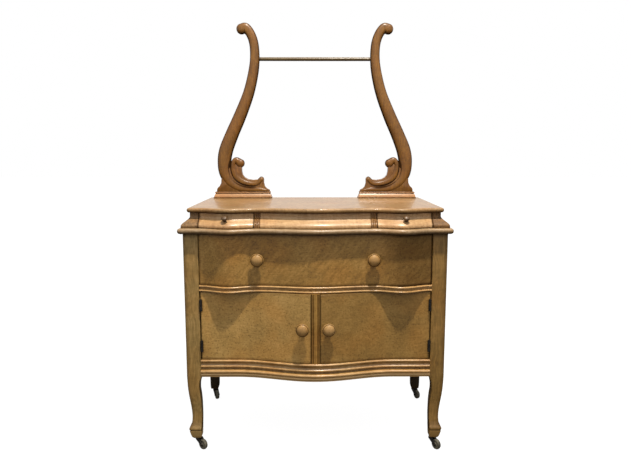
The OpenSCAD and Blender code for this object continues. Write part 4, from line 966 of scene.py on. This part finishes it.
leaf_t, screw_apart, carrier = 1.4, 8.75, 0.01
leaf_low, leaf_high = at("hinge_screws")
screw_y = (leaf_low.y + leaf_high.y) / 2
hinge_zs = [doors_z + 45, doors_z + 175]
seats, faces = [], []
for side, _ in sides:
    for z in [h + s * screw_apart for h in hinge_zs for s in (-1, 1)]:
        # A tiny triangle whose normal points to the middle carries each screw
        x = side * (half_open - leaf_t / 2)
        corner = len(seats)
        spread = [(0, carrier), (carrier * side, -carrier), (-carrier * side, -carrier)]
        seats += [(0.001 * x, 0.001 * (screw_y + dy), 0.001 * (z + dz)) for dy, dz in spread]
        faces.append((corner, corner + 1, corner + 2))
seat_mesh = bpy.data.meshes.new("screw_seats")
seat_mesh.from_pydata(seats, [], faces)
dress(grown("leaf_screws", seat_mesh, tree, screw_sizes), "case", None, "black_iron", "hinge_screws")


# Casters. An iron horn with a plate under the foot carries a wooden wheel on a riveted axle.
wheel_wood = poplar("caster_wheel_wood", "#5E594A", "#2B2821", "Z")
web_half = 6.8
# How far each caster is turned at rest, in degrees
caster_turns = (("front_left", -38), ("front_right", -55), ("rear_left", -66), ("rear_right", -68))
# Radius, then half the width there
wheel_section = [(2.05, 6), (5.6, 6), (6.4, 5.2), (8.6, 4.6), (11.2, 4.6), (12.6, 5.4), (14.2, 5.6),
                 (15.4, 4.8), (16.2, 3.2), (16.5, 1.4)]
wheel_section += [(r, -y) for r, y in reversed(wheel_section)]


def from_axle(axle, heading, x, y, z):
    """A place that is given along, beside and above the middle of a caster's axle."""
    c, s = math.cos(heading), math.sin(heading)
    return axle.x + x * c - y * s, axle.y + x * s + y * c, axle.z + z


for word, turn in caster_turns:
    low, high = at("wheel_" + word)
    axle, heading = (low + high) / 2, math.radians(turn)
    rings = [[from_axle(axle, heading, r * math.cos(a), y, r * math.sin(a)) for r, y in wheel_section]
             for a in full_turn(72)]
    clean = [[0] * len(wheel_section)] * len(rings)
    dress(make("caster_wheel_" + word, [(rings, clean)], 50, looped=True), "wheel_" + word, wheel_wood,
          "wheel_wood", "wheel_" + word)
    # A web closes the back of the horn; its corners are given from the axle, along and above
    web = [from_axle(axle, heading, along, y, up) for y in (-web_half, web_half)
           for along, up in ((-26.4, 13.8), (-16.6, 6.9), (-16.6, 8.9), (-26.4, 15.8))]
    dress(softened("caster_horn_" + word, "caster_" + word, 0.5, web), "caster_" + word, black_iron,
          "black_iron", "caster_" + word)


# Plinths of the towel rack. A moulding runs round three sides of each, and screws from under the top
# hold it together with its upright.
plinth_low, plinth_high = at("rack_plinth_right")
plinth_edge = [(0, 0), (0.17, 0), (0.2, 1.6), (0.36, 2.1), (0.56, 4.2), (0.74, 6.6), (0.78, 6.8),
               (0.81, 5.4), (0.9, 4.8), (0.97, 5.4), (1, 6.6)]
plinth_maple = maple("plinth_maple", "#A07952 #8A6238 #644221", "X", eyes=0.2, gloss=0.4, coat=0.4)
rings, rubbed_and_shaded = [], []
for v in np.linspace(0, 1, 47):
    inset = section_at(plinth_edge, v)
    ring = round_rect(plinth_low.x + inset, plinth_low.y + inset, plinth_high.x - inset, plinth_high.y,
                      (0.8, 0.8, 1.2, 1.2))
    rings.append(lift(ring, plinth_low.z + (plinth_high.z - plinth_low.z) * v))
    # Painted shade along the bottom, in the groove under the top bead and at its top edge, and a little over
    # that bead
    groove = 1 if v < 0.17 or 0.69 < v < 0.81 or v > 0.98 else 0.35 if v > 0.8 else 0
    rubbed_and_shaded.append([0.25 - 1.2 * groove] * len(rings[0]))
for side, word in sides:
    dress(make("rack_base_" + word, [(mirrored(rings, side), rubbed_and_shaded)]), "case", plinth_maple,
          "maple_light", "rack_plinth_" + word)


# Uprights of the towel rack. Each is bandsawn from a plank and carved: an S-shaped stem that ends in
# a curl, a scroll inside its foot, and a thinner board between them that spreads on the plinth.
upright_top = at("rack_upright_right")[1].z
upright_y = (plinth_low.y + plinth_high.y) / 2
base_z = plinth_high.z
# A step along a limb, then X, height over the plinth and half the width there
stem = [(0, 262, 580, 18.5), (1, 247, 583, 17.5), (2, 230, 563, 16.5), (3, 218.5, 529, 16.5),
        (4, 216, 480, 17), (5, 222, 428, 18.5), (6, 240, 356, 20), (7, 271, 278, 22.5), (8, 303, 208, 24),
        (9, 326, 150, 25.5), (10, 333, 104, 24.5), (11, 329, 64, 21.5), (12, 310, 33, 17),
        (13, 275, 14, 15), (14, 235, 9, 11.5), (15, 202, 8, 9.5), (16, 180, 5, 5.5)]
scroll = [(0, 275, 104, 16.5), (1, 290, 115, 11), (2, 301, 99, 11), (3, 299, 76, 13), (4, 286, 51, 13.5),
          (5, 263, 35, 12.5), (6, 236, 28.5, 11.5), (7, 213, 32, 10), (8, 197, 46, 9.5)]
board = [(344, 48), (345, 32), (351, 21), (359, 13.5), (361, 7), (361, 0), (167, 0), (167, 7), (177, 11.5),
         (184, 19), (188, 33), (188, 47), (207, 45.5), (228, 43.4), (247, 46.7), (258, 52.6), (265.5, 62),
         (268.5, 75), (269, 90), (298, 106)]
stem_half, scroll_half, board_half, board_ease = 15, 16, 12, 1.5
upright_maple = maple("upright_maple", "#77511A #603E11 #3B2506", "Z", eyes=0.1, ripples=0.2,
                      gloss=0.4, coat=0.3)


def limb(line, half_t, count, other, quirk=7):
    """Rings of a carved limb along a line, with round ends, and painted shade with stain in the quirk beside
    the other limb.
    """
    last = line[-1][0]
    ends = [(-0.97, 0.22), (-0.9, 0.42), (-0.75, 0.65), (-0.55, 0.84), (-0.28, 0.96)]
    steps = [(0, out, grow) for out, grow in ends]
    steps += [(last * i / count, 0, 1) for i in range(count + 1)]
    steps += [(last, -out, grow) for out, grow in reversed(ends)]
    touching = np.array([glide(other, t)[1:] for t in np.linspace(0, other[-1][0], 200)])
    rings, rubbed_and_shaded = [], []
    for t, out, grow in steps:
        _, x, z, w = glide(line, t)
        before, after = glide(line, max(t - 0.02, 0)), glide(line, min(t + 0.02, last))
        dx, dz = after[1] - before[1], after[2] - before[2]
        norm = math.hypot(dx, dz)
        dx, dz = dx / norm, dz / norm
        ring, row = [], []
        for a in full_turn(40):
            c, e = math.cos(a), math.sin(a)
            u = w * grow * math.copysign(abs(c) ** 0.75, c)
            v = half_t * grow * math.copysign(abs(e) ** 0.75, e)
            px, pz = x + dx * out * w - dz * u, z + dz * out * w + dx * u
            ring.append((px, upright_y + v, min(base_z + max(pz, 0), upright_top)))
            # Painted light: paler along the middle, with painted shade at both edges, deeper to the inner
            # side than to the outer one; painted shade and stain in the quirk
            part = u / (w * grow)
            gap = np.min(np.hypot(touching[:, 0] - px, touching[:, 1] - pz) - touching[:, 2])
            row.append(0.5 * near(part, 0.15, 0.4) - 1.2 * rising(abs(part), 0.7, 0.3)
                       - 0.2 * rising(-part, 0.35, 0.2) - 1.8 * near(gap, 0, quirk))
        rings.append(ring)
        rubbed_and_shaded.append(row)
    return rings, rubbed_and_shaded


def flat_board(outline, half_t, ease):
    """Rings of a sawn board with eased edges; its outline is given in X and Z."""
    points = np.array(outline, float)
    edge = np.roll(points, -1, 0) - points
    edge /= np.linalg.norm(edge, axis=1)[:, None]
    beside = np.stack([edge[:, 1], -edge[:, 0]], 1)
    inward = beside + np.roll(beside, 1, 0)
    inward /= np.linalg.norm(inward, axis=1)[:, None]
    rings, rubbed_and_shaded = [], []
    for y, inset in ((-half_t, ease), (-half_t + 0.3 * ease, 0.3 * ease), (-half_t + ease, 0),
                     (half_t - ease, 0), (half_t - 0.3 * ease, 0.3 * ease), (half_t, ease)):
        moved = points + inset * inward
        moved[:, 1] = np.maximum(moved[:, 1], 0)
        rings.append([(x, upright_y + y, base_z + z) for x, z in moved])
        rubbed_and_shaded.append([0] * len(points))
    return rings, rubbed_and_shaded


carved = (limb(stem, stem_half, 150, scroll), limb(scroll, scroll_half, 90, stem),
          flat_board(board, board_half, board_ease))
for side, word in sides:
    dress(make("lyre_" + word, [(mirrored(rings, side), rubbed_and_shaded) for rings, rubbed_and_shaded in carved], 50), "case",
          upright_maple, "maple_dark", "rack_upright_" + word)


# Towel rod. A plain round rod let into both uprights, a little thicker in the middle where hands
# have not worn it.
rod_low, rod_high = at("towel_rod")
rod_z, rod_r = (rod_low.z + rod_high.z) / 2, (rod_high.z - rod_low.z) / 2
let_in, end_dark, thinner = 12, 6, 0.03
rod_maple = maple("rod_maple", "#57472A #45371C #302411", "X", eyes=0.0, ripples=0.2, gloss=0.4, coat=0.3)
rings, rubbed_and_shaded = [], []
for x in np.linspace(rod_low.x, rod_high.x, 61):
    r = rod_r * (1 - thinner * (x / rod_high.x) ** 2)
    rings.append([(x, upright_y + r * math.cos(a), rod_z + r * math.sin(a)) for a in full_turn(36)])
    # The rod is darker over the last 6 mm before each upright
    rubbed_and_shaded.append([0.2 - 0.9 * max(0, 1 - (rod_high.x - let_in - abs(x)) / end_dark)] * 36)
dress(make("rack_rod", [(rings, rubbed_and_shaded)]), "case", rod_maple, "maple_dark", "towel_rod")
